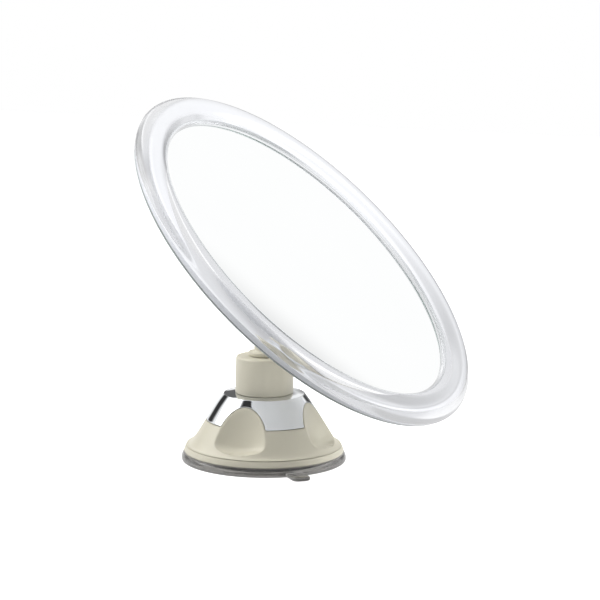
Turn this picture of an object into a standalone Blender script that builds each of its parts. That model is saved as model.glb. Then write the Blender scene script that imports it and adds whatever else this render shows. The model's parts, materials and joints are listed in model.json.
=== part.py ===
"""Suction cup magnifying mirror: a twist-lock suction base, a swivelling neck and a tilting round mirror.

Metres, +Z up, origin at the centre of the cup's underside. The mirror faces -Y and tilts about X.
The grip, plate, cup and stem share one frame, turned a little about Z as the grip stood in use.
"""

import math

import bmesh
import bpy

# Clearances and tools
GAP = 0.0003
OVERRUN = 0.002
WELD = 0.00001
SMOOTH_ANGLE = math.radians(32)

# Suction cup
CUP_RADIUS = 0.0395
CUP_RIM_HEIGHT = 0.0039
CUP_RIM_WIDTH = 0.0065
CUP_EDGE = 0.0005
CUP_RIM_BEVEL = 0.0009
CUP_WEB = 0.0024
CUP_GROOVE_INSET = 0.007
CUP_GROOVE_WIDTH = 0.0024
CUP_GROOVE_DEPTH = 0.0008
CUP_FLOOR = 0.0031
CUP_BOSS_WALL = 0.0027
CUP_BOSS_ROOF = 0.0015
TAB_WIDTH = 0.0088
TAB_REACH = 0.0107
TAB_THICKNESS = 0.0015
TAB_LIFT = 0.0004
TAB_CORNER = 0.003
TAB_ROOT = 0.004
TAB_DIRECTION = math.radians(-136)

# Lifting stem and its cross pin
STEM_RADIUS = 0.0062
STEM_HEAD_RADIUS = 0.0075
STEM_HEAD_THICKNESS = 0.0018
STEM_WAIST_RADIUS = 0.0042
STEM_WAIST_HEIGHT = 0.0028
STEM_ABOVE_PIN = 0.0045
STEM_EDGE = 0.0006
PIN_RADIUS = 0.0015
PIN_LENGTH = 0.0234
LIFT_TRAVEL = 0.0025

# Pressure plate
PLATE_INSET = 0.001
PLATE_TAPER = 0.0012
PLATE_RING_HEIGHT = 0.0029
PLATE_EDGE = 0.0005
PLATE_RING_WIDTH = 0.0057
PLATE_WEB = 0.0021
PLATE_FLAT_WIDTH = 0.0103
PLATE_WALL = 0.0025
PLATE_RECESS_SPARE = 0.0005
LAND_RADIUS = 0.0163
TUBE_WALL = 0.0027
TUBE_LIP = 0.0018

# Cam ring and thrust washer
CAM_RING_WALL = 0.001
CAM_FLANGE_CLEARANCE = 0.002
CAM_FLANGE_THICKNESS = 0.0032
CAM_STEP = 0.001
CAM_SPIGOT_HEIGHT = 0.0035
CAM_BUMP = 0.0012
CAM_STOP = 0.0015
CAM_JOIN = 0.0002
LOCK_ANGLE = 90
THRUST_WASHER_THICKNESS = 0.0008
THRUST_WASHER_INSET = 0.0005

# Twist grip
GRIP_TURN = math.radians(4.4)
GRIP_INSET = 0.0002
GRIP_SHOULDER_RADIUS = 0.0195
GRIP_HEADROOM = 0.0044
GRIP_WALL = 0.003
GRIP_HUB_WALL = 0.002
GRIP_CEILING_DROP = 0.0028
GRIP_ROOF = 0.0032
GRIP_SPIGOT_RISE = 0.0011
PILLAR_RADIUS = 0.003
PILLAR_STANDOFF = 0.0023
CONE_SHARES = (
    (0.0, 1.0),
    (0.02, 0.92),
    (0.065, 0.85),
    (0.142, 0.776),
    (0.268, 0.672),
    (0.508, 0.463),
    (0.667, 0.328),
    (0.858, 0.158),
    (1.0, 0.0),
)

# Finger scallops
DISH_COUNT = 4
DISH_START = 0.0014
DISH_APEX_DROP = 0.0033
DISH_PITCH_SPARE = 0.0274
DISH_AXIS_OFFSET = 0.024
DISH_WALL = 0.002
DISH_WIDEST_SHARE = 0.27
DISH_ARCH_POWER = 1.55

# Chrome trim
TRIM_THICKNESS = 0.0009
TRIM_LEG_HEIGHT = 0.0122
TRIM_CORNER = 0.0012
TRIM_BORDER = 0.0012
TRIM_APEX_BORDER = 0.0006
CROWN_RISE = 0.0005
CROWN_INSET = 0.0006

# Swivel housing, the knob under the neck
HOUSING_RADIUS = 0.0139
HOUSING_TOP_RADIUS = 0.0136
HOUSING_HEIGHT = 0.0174
HOUSING_TAPER_SHARE = 0.62
HOUSING_WALL = 0.0026
HOUSING_ROOF = 0.003
HOUSING_EDGE = 0.001
HOUSING_FOOT_EDGE = 0.0007
HOUSING_POST_RADIUS = 0.0026
HOUSING_POST_CIRCLE = 0.0089
HOUSING_SCREW_COUNT = 3
HOUSING_SCREW_REACH = 0.0065

# Neck and what holds it down
NECK_RADIUS = 0.005
NECK_FLANGE_RADIUS = 0.0078
NECK_FLANGE_THICKNESS = 0.0019
NECK_FLANGE_EDGE = 0.0005
NECK_FILLET = 0.001
NECK_SHANK_RADIUS = 0.0036
NECK_REACH = 0.0268
EYE_RADIUS = 0.0063
EYE_THICKNESS = 0.0072
FLAT_HEIGHT = 0.0087
SWIVEL_WASHER_RADIUS = 0.0059
FRICTION_WASHER_THICKNESS = 0.0013
RETAINING_WASHER_THICKNESS = 0.0011
SWIVEL_SCREW_RADIUS = 0.0015
SWIVEL_SCREW_LENGTH = 0.0126
SWIVEL_SCREW_HEAD_RADIUS = 0.003
SWIVEL_SCREW_HEAD_HEIGHT = 0.0022

# Small self-tapping screws
SCREW_RADIUS = 0.00125
SCREW_HEAD_RADIUS = 0.0024
SCREW_HEAD_HEIGHT = 0.0013
SCREW_HEAD_EDGE = 0.0004
SCREW_TIP = 0.0008
CAM_SCREW_REACH = 0.0066
SCREW_DEPTH_SPARE = 0.0004

# Mirror, ring, pad and cover, along the mirror's own axis from the tilt pivot
TILT = math.radians(44.7)
MIRROR_STANDOFF = 0.0314
RING_RADIUS = 0.1
RING_WIDTH = 0.0166
RING_THICKNESS = 0.0116
RING_LIP = 0.0034
REBATE_FRONT = 0.0008
GLASS_THICKNESS = 0.003
GLASS_CURVE_RADIUS = 0.9
PAD_RADIUS = 0.058
PAD_THICKNESS = 0.0022
COVER_WALL = 0.002
COVER_RIM_THICKNESS = 0.0018
COVER_RIM_WIDTH = 0.0062
COVER_STEP_WIDTH = 0.0035
COVER_STEP_DEPTH = 0.0024
COVER_LAND_MARGIN = 0.0025
COVER_LAND_THICKNESS = 0.0035
COVER_LAND_SLOPE = 0.003

# Hinge yoke and its screws
YOKE_PLATE_RADIUS = 0.021
YOKE_PLATE_THICKNESS = 0.003
YOKE_EDGE = 0.0006
YOKE_SCREW_INSET = 0.0038
YOKE_SCREW_ANGLE = math.radians(32)
YOKE_SCREW_DEPTH = 0.0024
EAR_RADIUS = 0.007
EAR_THICKNESS = 0.004
EAR_ROOT_WIDTH = 0.021
EAR_JOIN = 0.0005
PIVOT_WASHER_THICKNESS = 0.0008
PIVOT_WASHER_RADIUS = 0.0052
PIVOT_RADIUS = 0.002
PIVOT_HEAD_RADIUS = 0.0042
PIVOT_HEAD_HEIGHT = 0.0026
SPRING_WASHER_RADIUS = 0.0039
SPRING_WASHER_THICKNESS = 0.001
NUT_RADIUS = 0.004
NUT_HEIGHT = 0.0032
NUT_DOME_RADIUS = 0.0034
NUT_DOME_HEIGHT = 0.0028
NUT_BORE_SHARE = 0.75

# Facets
RING_STEPS = 50
RING_SECTION_STEPS = 12
BASE_STEPS = 36
KNOB_STEPS = 24
SMALL_STEPS = 16
SCREW_STEPS = 8
BARREL_STEPS = 44
INNER_BARREL_STEPS = 20
RAMP_STEP_DEGREES = 9

# Heights of the base, bottom to top
POCKET_FLOOR = CUP_FLOOR
STEM_BOTTOM = POCKET_FLOOR + GAP
POCKET_ROOF = STEM_BOTTOM + STEM_HEAD_THICKNESS + GAP
CUP_BOSS_TOP = POCKET_ROOF + CUP_BOSS_ROOF
PLATE_BOTTOM = CUP_RIM_HEIGHT + GAP
PLATE_TOP = PLATE_BOTTOM + PLATE_RING_HEIGHT
RECESS_ROOF = CUP_BOSS_TOP + LIFT_TRAVEL + PLATE_RECESS_SPARE
LAND_TOP = RECESS_ROOF + PLATE_WALL
THRUST_WASHER_BOTTOM = LAND_TOP + GAP
CAM_BOTTOM = THRUST_WASHER_BOTTOM + THRUST_WASHER_THICKNESS + GAP
CAM_FLANGE_TOP = CAM_BOTTOM + CAM_FLANGE_THICKNESS
RAMP_LOW = CAM_FLANGE_TOP + CAM_STEP
PIN_HEIGHT = RAMP_LOW + PIN_RADIUS + GAP
SLOT_TOP = PIN_HEIGHT + LIFT_TRAVEL + PIN_RADIUS + GAP
TUBE_TOP = SLOT_TOP + TUBE_LIP
STEM_TOP = PIN_HEIGHT + STEM_ABOVE_PIN
GRIP_BOTTOM = PLATE_TOP + GAP
HUB_CEILING = TUBE_TOP + GRIP_HEADROOM
SPIGOT_TOP = HUB_CEILING + GRIP_ROOF
CROWN_HEIGHT = SPIGOT_TOP - GRIP_SPIGOT_RISE
SHOULDER_HEIGHT = CROWN_HEIGHT - CROWN_RISE
GRIP_HEIGHT = SHOULDER_HEIGHT - GRIP_BOTTOM
DISH_RISE = GRIP_HEIGHT - DISH_START - DISH_APEX_DROP
HUB_BOTTOM = CAM_FLANGE_TOP + GAP
LEG_BOTTOM = SHOULDER_HEIGHT - TRIM_LEG_HEIGHT

# Radii of the mechanism, inside to outside
TUBE_BORE = STEM_RADIUS + GAP
TUBE_RADIUS = TUBE_BORE + TUBE_WALL
CAM_BORE = TUBE_RADIUS + GAP
CAM_RING_BORE = PIN_LENGTH / 2 + GAP
CAM_RING_RADIUS = CAM_RING_BORE + CAM_RING_WALL
HUB_BORE = CAM_RING_RADIUS + GAP
HUB_RADIUS = HUB_BORE + GRIP_HUB_WALL
PILLAR_CIRCLE = HUB_RADIUS + PILLAR_STANDOFF
CUP_BOSS_RADIUS = STEM_HEAD_RADIUS + GAP + CUP_BOSS_WALL
SPIGOT_RADIUS = HOUSING_RADIUS - HOUSING_WALL - GAP
SCREW_HOLE = SCREW_RADIUS + GAP

# Radii of the outer base, from the cup's edge inwards
CUP_GROOVE_RADIUS = CUP_RADIUS - CUP_GROOVE_INSET
PLATE_RADIUS = CUP_RADIUS - PLATE_INSET
PLATE_SEAM_RADIUS = PLATE_RADIUS - PLATE_TAPER
PLATE_STEP_RADIUS = PLATE_SEAM_RADIUS - PLATE_FLAT_WIDTH
THRUST_WASHER_OUTER = LAND_RADIUS - THRUST_WASHER_INSET
GRIP_FOOT_RADIUS = PLATE_SEAM_RADIUS - GRIP_INSET
CROWN_RADIUS = GRIP_SHOULDER_RADIUS - CROWN_INSET
DISH_PITCH = 2 * GRIP_FOOT_RADIUS * math.sin(math.pi / DISH_COUNT)
DISH_WIDTH = DISH_PITCH - DISH_PITCH_SPARE

# Heights of the housing and the neck
HOUSING_BOTTOM = CROWN_HEIGHT + GAP
HOUSING_TOP = HOUSING_BOTTOM + HOUSING_HEIGHT
ROOF_UNDERSIDE = HOUSING_TOP - HOUSING_ROOF
NECK_BOTTOM = ROOF_UNDERSIDE - GAP - FRICTION_WASHER_THICKNESS
RETAINING_WASHER_BOTTOM = NECK_BOTTOM - GAP - RETAINING_WASHER_THICKNESS
FLANGE_BOTTOM = HOUSING_TOP + GAP
FLANGE_TOP = FLANGE_BOTTOM + NECK_FLANGE_THICKNESS
PIVOT_HEIGHT = HOUSING_TOP + NECK_REACH

# Places along the mirror's axis, from the pivot towards the glass
RING_CENTRE_RADIUS = RING_RADIUS - RING_WIDTH / 2
REBATE_RADIUS = RING_RADIUS - RING_WIDTH + RING_LIP
REBATE_FACE = MIRROR_STANDOFF + REBATE_FRONT
GLASS_RADIUS = REBATE_RADIUS - GAP
GLASS_EDGE_FRONT = REBATE_FACE - GAP
GLASS_EDGE_BACK = GLASS_EDGE_FRONT - GLASS_THICKNESS
COVER_FRONT = GLASS_EDGE_BACK - GAP
COVER_RIM_BACK = COVER_FRONT - COVER_RIM_THICKNESS
COVER_LAND_RADIUS = YOKE_PLATE_RADIUS + COVER_LAND_MARGIN
YOKE_SCREW_CIRCLE = YOKE_PLATE_RADIUS - YOKE_SCREW_INSET

# Colours, sRGB
CREAM = (214, 209, 196)
WHITE = (232, 233, 234)
CHROME = (214, 216, 217)
CUP_GREY = (158, 159, 158)
CLEAR = (236, 240, 243)
SILVER = (240, 242, 243)
STEEL = (170, 172, 175)
ACETAL = (226, 226, 220)
FOAM = (92, 92, 94)

parts = bpy.data.collections.new("suction_cup_mirror")
cutters = bpy.data.collections.new("cutters")
materials = {}


def clear_scene():
    for obj in list(bpy.data.objects):
        bpy.data.objects.remove(obj)
    for collection in (parts, cutters):
        bpy.context.scene.collection.children.link(collection)


def linear(channel):
    value = channel / 255
    return value / 12.92 if value <= 0.04045 else ((value + 0.055) / 1.055) ** 2.4


def material(name, colour, roughness, metallic=0.0, transmission=0.0):
    if name not in materials:
        made = bpy.data.materials.new(name)
        made.use_nodes = True
        shader = made.node_tree.nodes["Principled BSDF"]
        shader.inputs["Base Color"].default_value = (*map(linear, colour), 1)
        shader.inputs["Roughness"].default_value = roughness
        shader.inputs["Metallic"].default_value = metallic
        shader.inputs["Transmission Weight"].default_value = transmission
        made.diffuse_color = (*map(linear, colour), 1)
        materials[name] = made
    return materials[name]


def frame(name, location=(0, 0, 0), rotation=(0, 0, 0), parent=None):
    """An empty that carries the pieces of one body, on that body's joint."""
    empty = bpy.data.objects.new(name, None)
    parts.objects.link(empty)
    empty.location = location
    empty.rotation_euler = rotation
    empty.parent = parent
    return empty


def add(name, mesh, carrier, look=None, location=(0, 0, 0), rotation=(0, 0, 0)):
    """An object on its carrier. One without a look is a cutter."""
    obj = bpy.data.objects.new(name, mesh)
    obj.parent = carrier
    obj.location = location
    obj.rotation_euler = rotation
    if look is None:
        cutters.objects.link(obj)
        obj.hide_render = True
        obj.display_type = "WIRE"
    else:
        parts.objects.link(obj)
        mesh.materials.append(look)
    return obj


def turned(name, loop, steps, carrier, look=None, location=(0, 0, 0), rotation=(0, 0, 0)):
    """A profile of (radius, height) points turned about Z. One that doesn't start on the axis is closed to a ring."""
    area = sum(a[0] * b[1] - b[0] * a[1] for a, b in zip(loop, loop[1:] + loop[:1]))
    if area > 0:
        loop = loop[::-1]
    closed = min(loop[0][0], loop[-1][0]) > 0
    mesh = bpy.data.meshes.new(name)
    edges = [(i, i + 1) for i in range(len(loop) - 1)]
    if closed:
        edges.append((len(loop) - 1, 0))
    mesh.from_pydata([(radius, 0, height) for radius, height in loop], edges, [])
    obj = add(name, mesh, carrier, look, location, rotation)
    screw = obj.modifiers.new("turn", "SCREW")
    screw.steps = steps
    screw.render_steps = steps
    screw.use_merge_vertices = True
    screw.merge_threshold = WELD
    return obj


def rod(name, radius, bottom, top, steps, carrier, look=None, location=(0, 0, 0), rotation=(0, 0, 0)):
    mesh = bpy.data.meshes.new(name)
    shape = bmesh.new()
    bmesh.ops.create_cone(
        shape, cap_ends=True, segments=steps, radius1=radius, radius2=radius, depth=top - bottom
    )
    bmesh.ops.translate(shape, vec=(0, 0, (top + bottom) / 2), verts=shape.verts)
    shape.to_mesh(mesh)
    shape.free()
    return add(name, mesh, carrier, look, location, rotation)


def box(name, size, centre, carrier, look=None, rotation=(0, 0, 0)):
    mesh = bpy.data.meshes.new(name)
    shape = bmesh.new()
    bmesh.ops.create_cube(shape, size=1)
    bmesh.ops.scale(shape, vec=size, verts=shape.verts)
    shape.to_mesh(mesh)
    shape.free()
    return add(name, mesh, carrier, look, centre, rotation)


def slab(name, outline, thickness, carrier, look=None, location=(0, 0, 0), rotation=(0, 0, 0)):
    """A flat outline of (x, y) points with a thickness along its own Z, centred on it."""
    curve = bpy.data.curves.new(name, "CURVE")
    curve.dimensions = "2D"
    curve.fill_mode = "BOTH"
    curve.extrude = thickness / 2
    spline = curve.splines.new("POLY")
    spline.points.add(len(outline) - 1)
    spline.use_cyclic_u = True
    for point, (x, y) in zip(spline.points, outline):
        point.co = (x, y, 0, 1)
    guide = bpy.data.objects.new(name + "_outline", curve)
    cutters.objects.link(guide)
    graph = bpy.context.evaluated_depsgraph_get()
    mesh = bpy.data.meshes.new_from_object(guide.evaluated_get(graph))
    bpy.data.objects.remove(guide)
    shape = bmesh.new()
    shape.from_mesh(mesh)
    bmesh.ops.remove_doubles(shape, verts=shape.verts, dist=WELD)
    bmesh.ops.recalc_face_normals(shape, faces=shape.faces)
    shape.to_mesh(mesh)
    shape.free()
    return add(name, mesh, carrier, look, location, rotation)


def combine(obj, others, operation="DIFFERENCE"):
    for other in others:
        step = obj.modifiers.new(other.name, "BOOLEAN")
        step.operation = operation
        step.object = other
    return obj


def finish(obj):
    """The modifiers' result as the object's own mesh, smooth but for its edges."""
    graph = bpy.context.evaluated_depsgraph_get()
    mesh = bpy.data.meshes.new_from_object(obj.evaluated_get(graph))
    obj.modifiers.clear()
    obj.data = mesh
    mesh.shade_smooth()
    mesh.set_sharp_from_angle(angle=SMOOTH_ANGLE)
    return obj


def arc(centre, radius, start, end, count):
    """Points on an arc, with angles in degrees."""
    steps = [math.radians(start + (end - start) * i / count) for i in range(count + 1)]
    return [(centre[0] + radius * math.cos(a), centre[1] + radius * math.sin(a)) for a in steps]


def washer(name, bore, radius, bottom, thickness, steps, carrier, look, rotation=(0, 0, 0)):
    loop = [
        (bore, bottom),
        (radius, bottom),
        (radius, bottom + thickness),
        (bore, bottom + thickness),
    ]
    return finish(turned(name, loop, steps, carrier, look, rotation=rotation))


def screw_loop(radius, length, head_radius, head_height):
    """A pan-head screw whose head seats at height 0 and whose shank points up."""
    return [
        (0, -head_height),
        (head_radius - SCREW_HEAD_EDGE, -head_height),
        (head_radius, 0),
        (radius, 0),
        (radius, length - SCREW_TIP),
        (radius / 2, length),
        (0, length),
    ]


def cone_radius(height):
    """The grip's outer radius at a height."""
    share = (height - GRIP_BOTTOM) / GRIP_HEIGHT
    for (low, wide), (high, narrow) in zip(CONE_SHARES, CONE_SHARES[1:]):
        if share <= high:
            break
    share = min(max(share, 0), 1)
    across = wide + (narrow - wide) * (share - low) / (high - low)
    return GRIP_SHOULDER_RADIUS + (GRIP_FOOT_RADIUS - GRIP_SHOULDER_RADIUS) * across


def cone_points(bottom, top):
    """The grip's outer profile between two heights, upwards."""
    heights = [GRIP_BOTTOM + GRIP_HEIGHT * share for share, _ in CONE_SHARES]
    inner = [height for height in heights if bottom + WELD < height < top - WELD]
    return [(cone_radius(height), height) for height in [bottom, *inner, top]]


def offset_inwards(points, distance):
    """A polyline of (radius, height) points, upwards on the outer side, moved inwards square to itself."""
    moved = []
    for i, (radius, height) in enumerate(points):
        before = points[max(i - 1, 0)]
        after = points[min(i + 1, len(points) - 1)]
        first = math.atan2(height - before[1], radius - before[0]) if i else None
        last = math.atan2(after[1] - height, after[0] - radius) if after != points[i] else first
        first = last if first is None else first
        middle = (first + last) / 2
        reach = distance / math.cos((last - first) / 2)
        moved.append((radius - reach * math.sin(middle), height + reach * math.cos(middle)))
    return moved


def dish_frame():
    """Where a scallop starts on the cone, and its directions along and out of the cone, as (radius, height)."""
    start = (cone_radius(GRIP_BOTTOM + DISH_START), GRIP_BOTTOM + DISH_START)
    end_height = GRIP_BOTTOM + DISH_START + DISH_RISE
    end = (cone_radius(end_height), end_height)
    length = math.dist(start, end)
    along = ((end[0] - start[0]) / length, (end[1] - start[1]) / length)
    return start, along, (along[1], -along[0]), length


def dish_half_width(station, length, border, apex_border):
    """Half the width of the scallop's outline: an ellipse below its widest place and an arch above it."""
    widest = DISH_WIDEST_SHARE * length
    half = DISH_WIDTH / 2 + border
    if station < widest:
        return half * math.sqrt(max(0, 1 - ((widest - station) / widest) ** 2))
    share = (station - widest) / (length + apex_border - widest)
    return half * math.sqrt(max(0, 1 - share**DISH_ARCH_POWER))


def cone_at_station(station, across):
    """How far the cone lies under the scallop's chord, and its height, at a station and a distance across."""
    start, along, out, _ = dish_frame()
    height = start[1] + station * along[1]
    for _ in range(5):
        depth = math.sqrt(max(0, cone_radius(height) ** 2 - across**2))
        reached = (depth - start[0]) * along[0] + (height - start[1]) * along[1]
        height += (station - reached) * along[1]
    return -((depth - start[0]) * out[0] + (height - start[1]) * out[1]), height


def dish_stations(count):
    """Stations along a scallop, closer together at its round lower end."""
    _, _, _, length = dish_frame()
    widest = DISH_WIDEST_SHARE * length
    low = [widest * (1 - math.cos(math.pi / 2 * i / count)) for i in range(count)]
    high = [widest + (length - widest) * math.sin(math.pi / 2 * i / count) for i in range(count + 1)]
    return low + high


def barrel(name, grow, count, steps, turn, carrier):
    """The turned body whose side makes one scallop, grown outwards by a wall."""
    start, along, out, length = dish_frame()
    loop = []
    for station in dish_stations(count):
        half = dish_half_width(station, length, 0, 0)
        sunk, _ = cone_at_station(station, half)
        loop.append((math.hypot(half, DISH_AXIS_OFFSET + sunk) + grow, station))
    loop = [(0, -grow), (loop[0][0], -grow), *loop, (loop[-1][0], length + grow), (0, length + grow)]
    radius = start[0] + DISH_AXIS_OFFSET * out[0]
    height = start[1] + DISH_AXIS_OFFSET * out[1]
    lean = math.atan2(along[0], along[1])
    place = (radius * math.cos(turn), radius * math.sin(turn), height)
    return turned(name, loop, steps, carrier, location=place, rotation=(0, lean, turn))


def bulge_radius(height):
    """How near the axis a scallop's wall comes at a height inside the grip."""
    start, along, out, length = dish_frame()
    below = start
    for station in dish_stations(3):
        half = dish_half_width(station, length, 0, 0)
        sunk, _ = cone_at_station(station, half)
        deep = math.hypot(half, DISH_AXIS_OFFSET + sunk) - DISH_AXIS_OFFSET + DISH_WALL
        reached = (start[0] + station * along[0] - deep * out[0], start[1] + station * along[1] - deep * out[1])
        if reached[1] >= height > below[1]:
            share = (height - below[1]) / (reached[1] - below[1])
            return below[0] + (reached[0] - below[0]) * share
        below = reached
    return below[0]


def dish_turns():
    return [2 * math.pi * i / DISH_COUNT for i in range(DISH_COUNT)]


def leg_turns():
    return [turn + math.pi / DISH_COUNT for turn in dish_turns()]


def window(name, shrink, turn, carrier):
    """The prism that keeps the trim off one scallop and off the grip below the legs."""
    _, _, _, length = dish_frame()
    bottom = LEG_BOTTOM - shrink
    corner = TRIM_CORNER
    side = []
    for station in [length + TRIM_APEX_BORDER - shrink, *reversed(dish_stations(7))]:
        half = dish_half_width(station, length, TRIM_BORDER - shrink, TRIM_APEX_BORDER - shrink)
        _, height = cone_at_station(station, half)
        if height > bottom + corner and (not side or height < side[-1][1]):
            side.append((half, height))
    foot = side[-1][0]
    side += arc((foot + corner, bottom + corner), corner, 180, 270, 4)
    reach = GRIP_FOOT_RADIUS + OVERRUN
    side += [(reach, bottom), (reach, GRIP_BOTTOM - OVERRUN)]
    outline = side + [(-x, y) for x, y in reversed(side) if x > 0]
    depth = GRIP_FOOT_RADIUS + OVERRUN
    centre = depth / 2 + OVERRUN
    place = (centre * math.cos(turn), centre * math.sin(turn), 0)
    return slab(name, outline, depth, carrier, None, place, (math.pi / 2, 0, turn + math.pi / 2))


def skin_points(bottom):
    """The chrome trim's outer profile, from a height on the cone to the hole in its crown."""
    crown = [(CROWN_RADIUS, CROWN_HEIGHT), (SPIGOT_RADIUS + GAP, CROWN_HEIGHT)]
    return cone_points(bottom, SHOULDER_HEIGHT) + crown


def suction_cup(carrier):
    rim = CUP_RIM_HEIGHT
    groove_in = CUP_GROOVE_RADIUS - CUP_GROOVE_WIDTH / 2
    groove_out = CUP_GROOVE_RADIUS + CUP_GROOVE_WIDTH / 2
    pocket = STEM_HEAD_RADIUS + GAP
    loop = [
        (0, 0),
        (groove_in, 0),
        (CUP_GROOVE_RADIUS, CUP_GROOVE_DEPTH),
        (groove_out, 0),
        (CUP_RADIUS - CUP_EDGE, 0),
        (CUP_RADIUS, CUP_EDGE),
        (CUP_RADIUS, rim - 2 * CUP_RIM_BEVEL),
        (CUP_RADIUS - CUP_RIM_BEVEL, rim),
        (CUP_RADIUS - CUP_RIM_WIDTH, rim),
        (CUP_RADIUS - CUP_RIM_WIDTH - CUP_EDGE, CUP_WEB),
        (CUP_BOSS_RADIUS, CUP_WEB),
        (CUP_BOSS_RADIUS, CUP_BOSS_TOP - CUP_EDGE),
        (CUP_BOSS_RADIUS - CUP_EDGE, CUP_BOSS_TOP),
        (STEM_WAIST_RADIUS + GAP, CUP_BOSS_TOP),
        (STEM_WAIST_RADIUS + GAP, POCKET_ROOF),
        (pocket, POCKET_ROOF),
        (pocket, POCKET_FLOOR),
        (0, POCKET_FLOOR),
    ]
    look = material("soft_cup", CUP_GREY, 0.35, transmission=0.3)
    cup = turned("suction_cup", loop, BASE_STEPS, carrier, look)
    end = CUP_RADIUS + TAB_REACH
    half = TAB_WIDTH / 2
    corner = (end - TAB_CORNER, half - TAB_CORNER)
    outline = [(CUP_RADIUS - TAB_ROOT, -half)]
    outline += arc((corner[0], -corner[1]), TAB_CORNER, -90, 0, 4)
    outline += arc(corner, TAB_CORNER, 0, 90, 4)
    outline += [(CUP_RADIUS - TAB_ROOT, half)]
    place = (0, 0, TAB_LIFT + TAB_THICKNESS / 2)
    turn = (0, 0, TAB_DIRECTION)
    tab = slab("tab_tool", outline, TAB_THICKNESS, carrier, None, place, turn)
    return finish(combine(cup, [tab], "UNION"))


def lift_stem(carrier):
    head_top = STEM_BOTTOM + STEM_HEAD_THICKNESS
    shoulder = head_top + STEM_WAIST_HEIGHT
    loop = [
        (0, STEM_BOTTOM),
        (STEM_HEAD_RADIUS, STEM_BOTTOM),
        (STEM_HEAD_RADIUS, head_top),
        (STEM_WAIST_RADIUS, head_top),
        (STEM_WAIST_RADIUS, shoulder),
        (STEM_RADIUS - STEM_EDGE, shoulder),
        (STEM_RADIUS, shoulder + STEM_EDGE),
        (STEM_RADIUS, STEM_TOP - STEM_EDGE),
        (STEM_RADIUS - STEM_EDGE, STEM_TOP),
        (0, STEM_TOP),
    ]
    stem = turned("lift_stem", loop, SMALL_STEPS, carrier, material("acetal", ACETAL, 0.4))
    reach = STEM_RADIUS + OVERRUN
    across = (0, math.pi / 2, 0)
    place = (0, 0, PIN_HEIGHT)
    hole = rod("pin_hole", PIN_RADIUS + GAP, -reach, reach, SCREW_STEPS, carrier, None, place, across)
    finish(combine(stem, [hole]))
    half = PIN_LENGTH / 2
    steel = material("steel", STEEL, 0.3, 1.0)
    return finish(rod("cross_pin", PIN_RADIUS, -half, half, SCREW_STEPS, carrier, steel, place, across))


def pressure_plate(carrier):
    ring_in = PLATE_RADIUS - PLATE_RING_WIDTH
    web_under = PLATE_TOP - PLATE_WEB
    recess = CUP_BOSS_RADIUS + CUP_BOSS_WALL / 2
    recess = max(recess, PIN_LENGTH / 2 + GAP)
    loop = [
        (TUBE_BORE, RECESS_ROOF),
        (recess, RECESS_ROOF),
        (recess, LAND_TOP - 2 * PLATE_WALL + PLATE_EDGE),
        (PLATE_STEP_RADIUS, web_under),
        (ring_in - PLATE_WEB, web_under),
        (ring_in, PLATE_BOTTOM),
        (PLATE_RADIUS - PLATE_EDGE, PLATE_BOTTOM),
        (PLATE_RADIUS, PLATE_BOTTOM + PLATE_EDGE),
        (PLATE_SEAM_RADIUS, PLATE_TOP - PLATE_EDGE),
        (PLATE_SEAM_RADIUS - PLATE_EDGE, PLATE_TOP),
        (PLATE_STEP_RADIUS, PLATE_TOP),
        (LAND_RADIUS + PLATE_WALL, LAND_TOP - PLATE_WALL / 2),
        (LAND_RADIUS, LAND_TOP),
        (TUBE_RADIUS, LAND_TOP),
        (TUBE_RADIUS, TUBE_TOP),
        (TUBE_BORE, TUBE_TOP),
    ]
    plate = turned("pressure_plate", loop, BASE_STEPS, carrier, material("cream_plastic", CREAM, 0.4))
    slot_bottom = RECESS_ROOF - PLATE_WALL
    size = (PIN_LENGTH + 2 * GAP, 2 * (PIN_RADIUS + GAP), SLOT_TOP - slot_bottom)
    slot = box("pin_slots", size, (0, 0, (SLOT_TOP + slot_bottom) / 2), carrier)
    return finish(combine(plate, [slot]))


def cam_profile():
    """The ramp's stations as (degrees, height over its low landing). The pin rests at 0 degrees."""
    landing = math.degrees(math.asin((PIN_RADIUS + GAP) / CAM_BORE)) + 1
    high = LIFT_TRAVEL + CAM_STOP
    count = math.ceil(LOCK_ANGLE / RAMP_STEP_DEGREES)
    ramp = [(LOCK_ANGLE * i / count, LIFT_TRAVEL * i / count) for i in range(count + 1)]
    return [
        (-landing - 10, CAM_BUMP),
        (-landing - 1, CAM_BUMP),
        (-landing, 0),
        *ramp,
        (LOCK_ANGLE + landing, LIFT_TRAVEL),
        (LOCK_ANGLE + landing + 1, high),
        (LOCK_ANGLE + landing + 10, high),
        (LOCK_ANGLE + landing + 19, high),
    ]


def cam_sector(name, turn, carrier):
    """A loft between upright rectangles whose tops follow the ramp."""
    mesh = bpy.data.meshes.new(name)
    shape = bmesh.new()
    rows = []
    for degrees, rise in cam_profile():
        angle = math.radians(degrees)
        corners = [
            (CAM_BORE, CAM_BOTTOM),
            (CAM_RING_BORE + CAM_JOIN, CAM_BOTTOM),
            (CAM_RING_BORE + CAM_JOIN, RAMP_LOW + rise),
            (CAM_BORE, RAMP_LOW + rise),
        ]
        rows.append([shape.verts.new((r * math.cos(angle), r * math.sin(angle), z)) for r, z in corners])
    for row, following in zip(rows, rows[1:]):
        for i in range(4):
            j = (i + 1) % 4
            shape.faces.new((row[i], row[j], following[j], following[i]))
    shape.faces.new(rows[0][::-1])
    shape.faces.new(rows[-1])
    bmesh.ops.recalc_face_normals(shape, faces=shape.faces)
    shape.to_mesh(mesh)
    shape.free()
    return add(name, mesh, carrier, None, rotation=(0, 0, turn))


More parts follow.
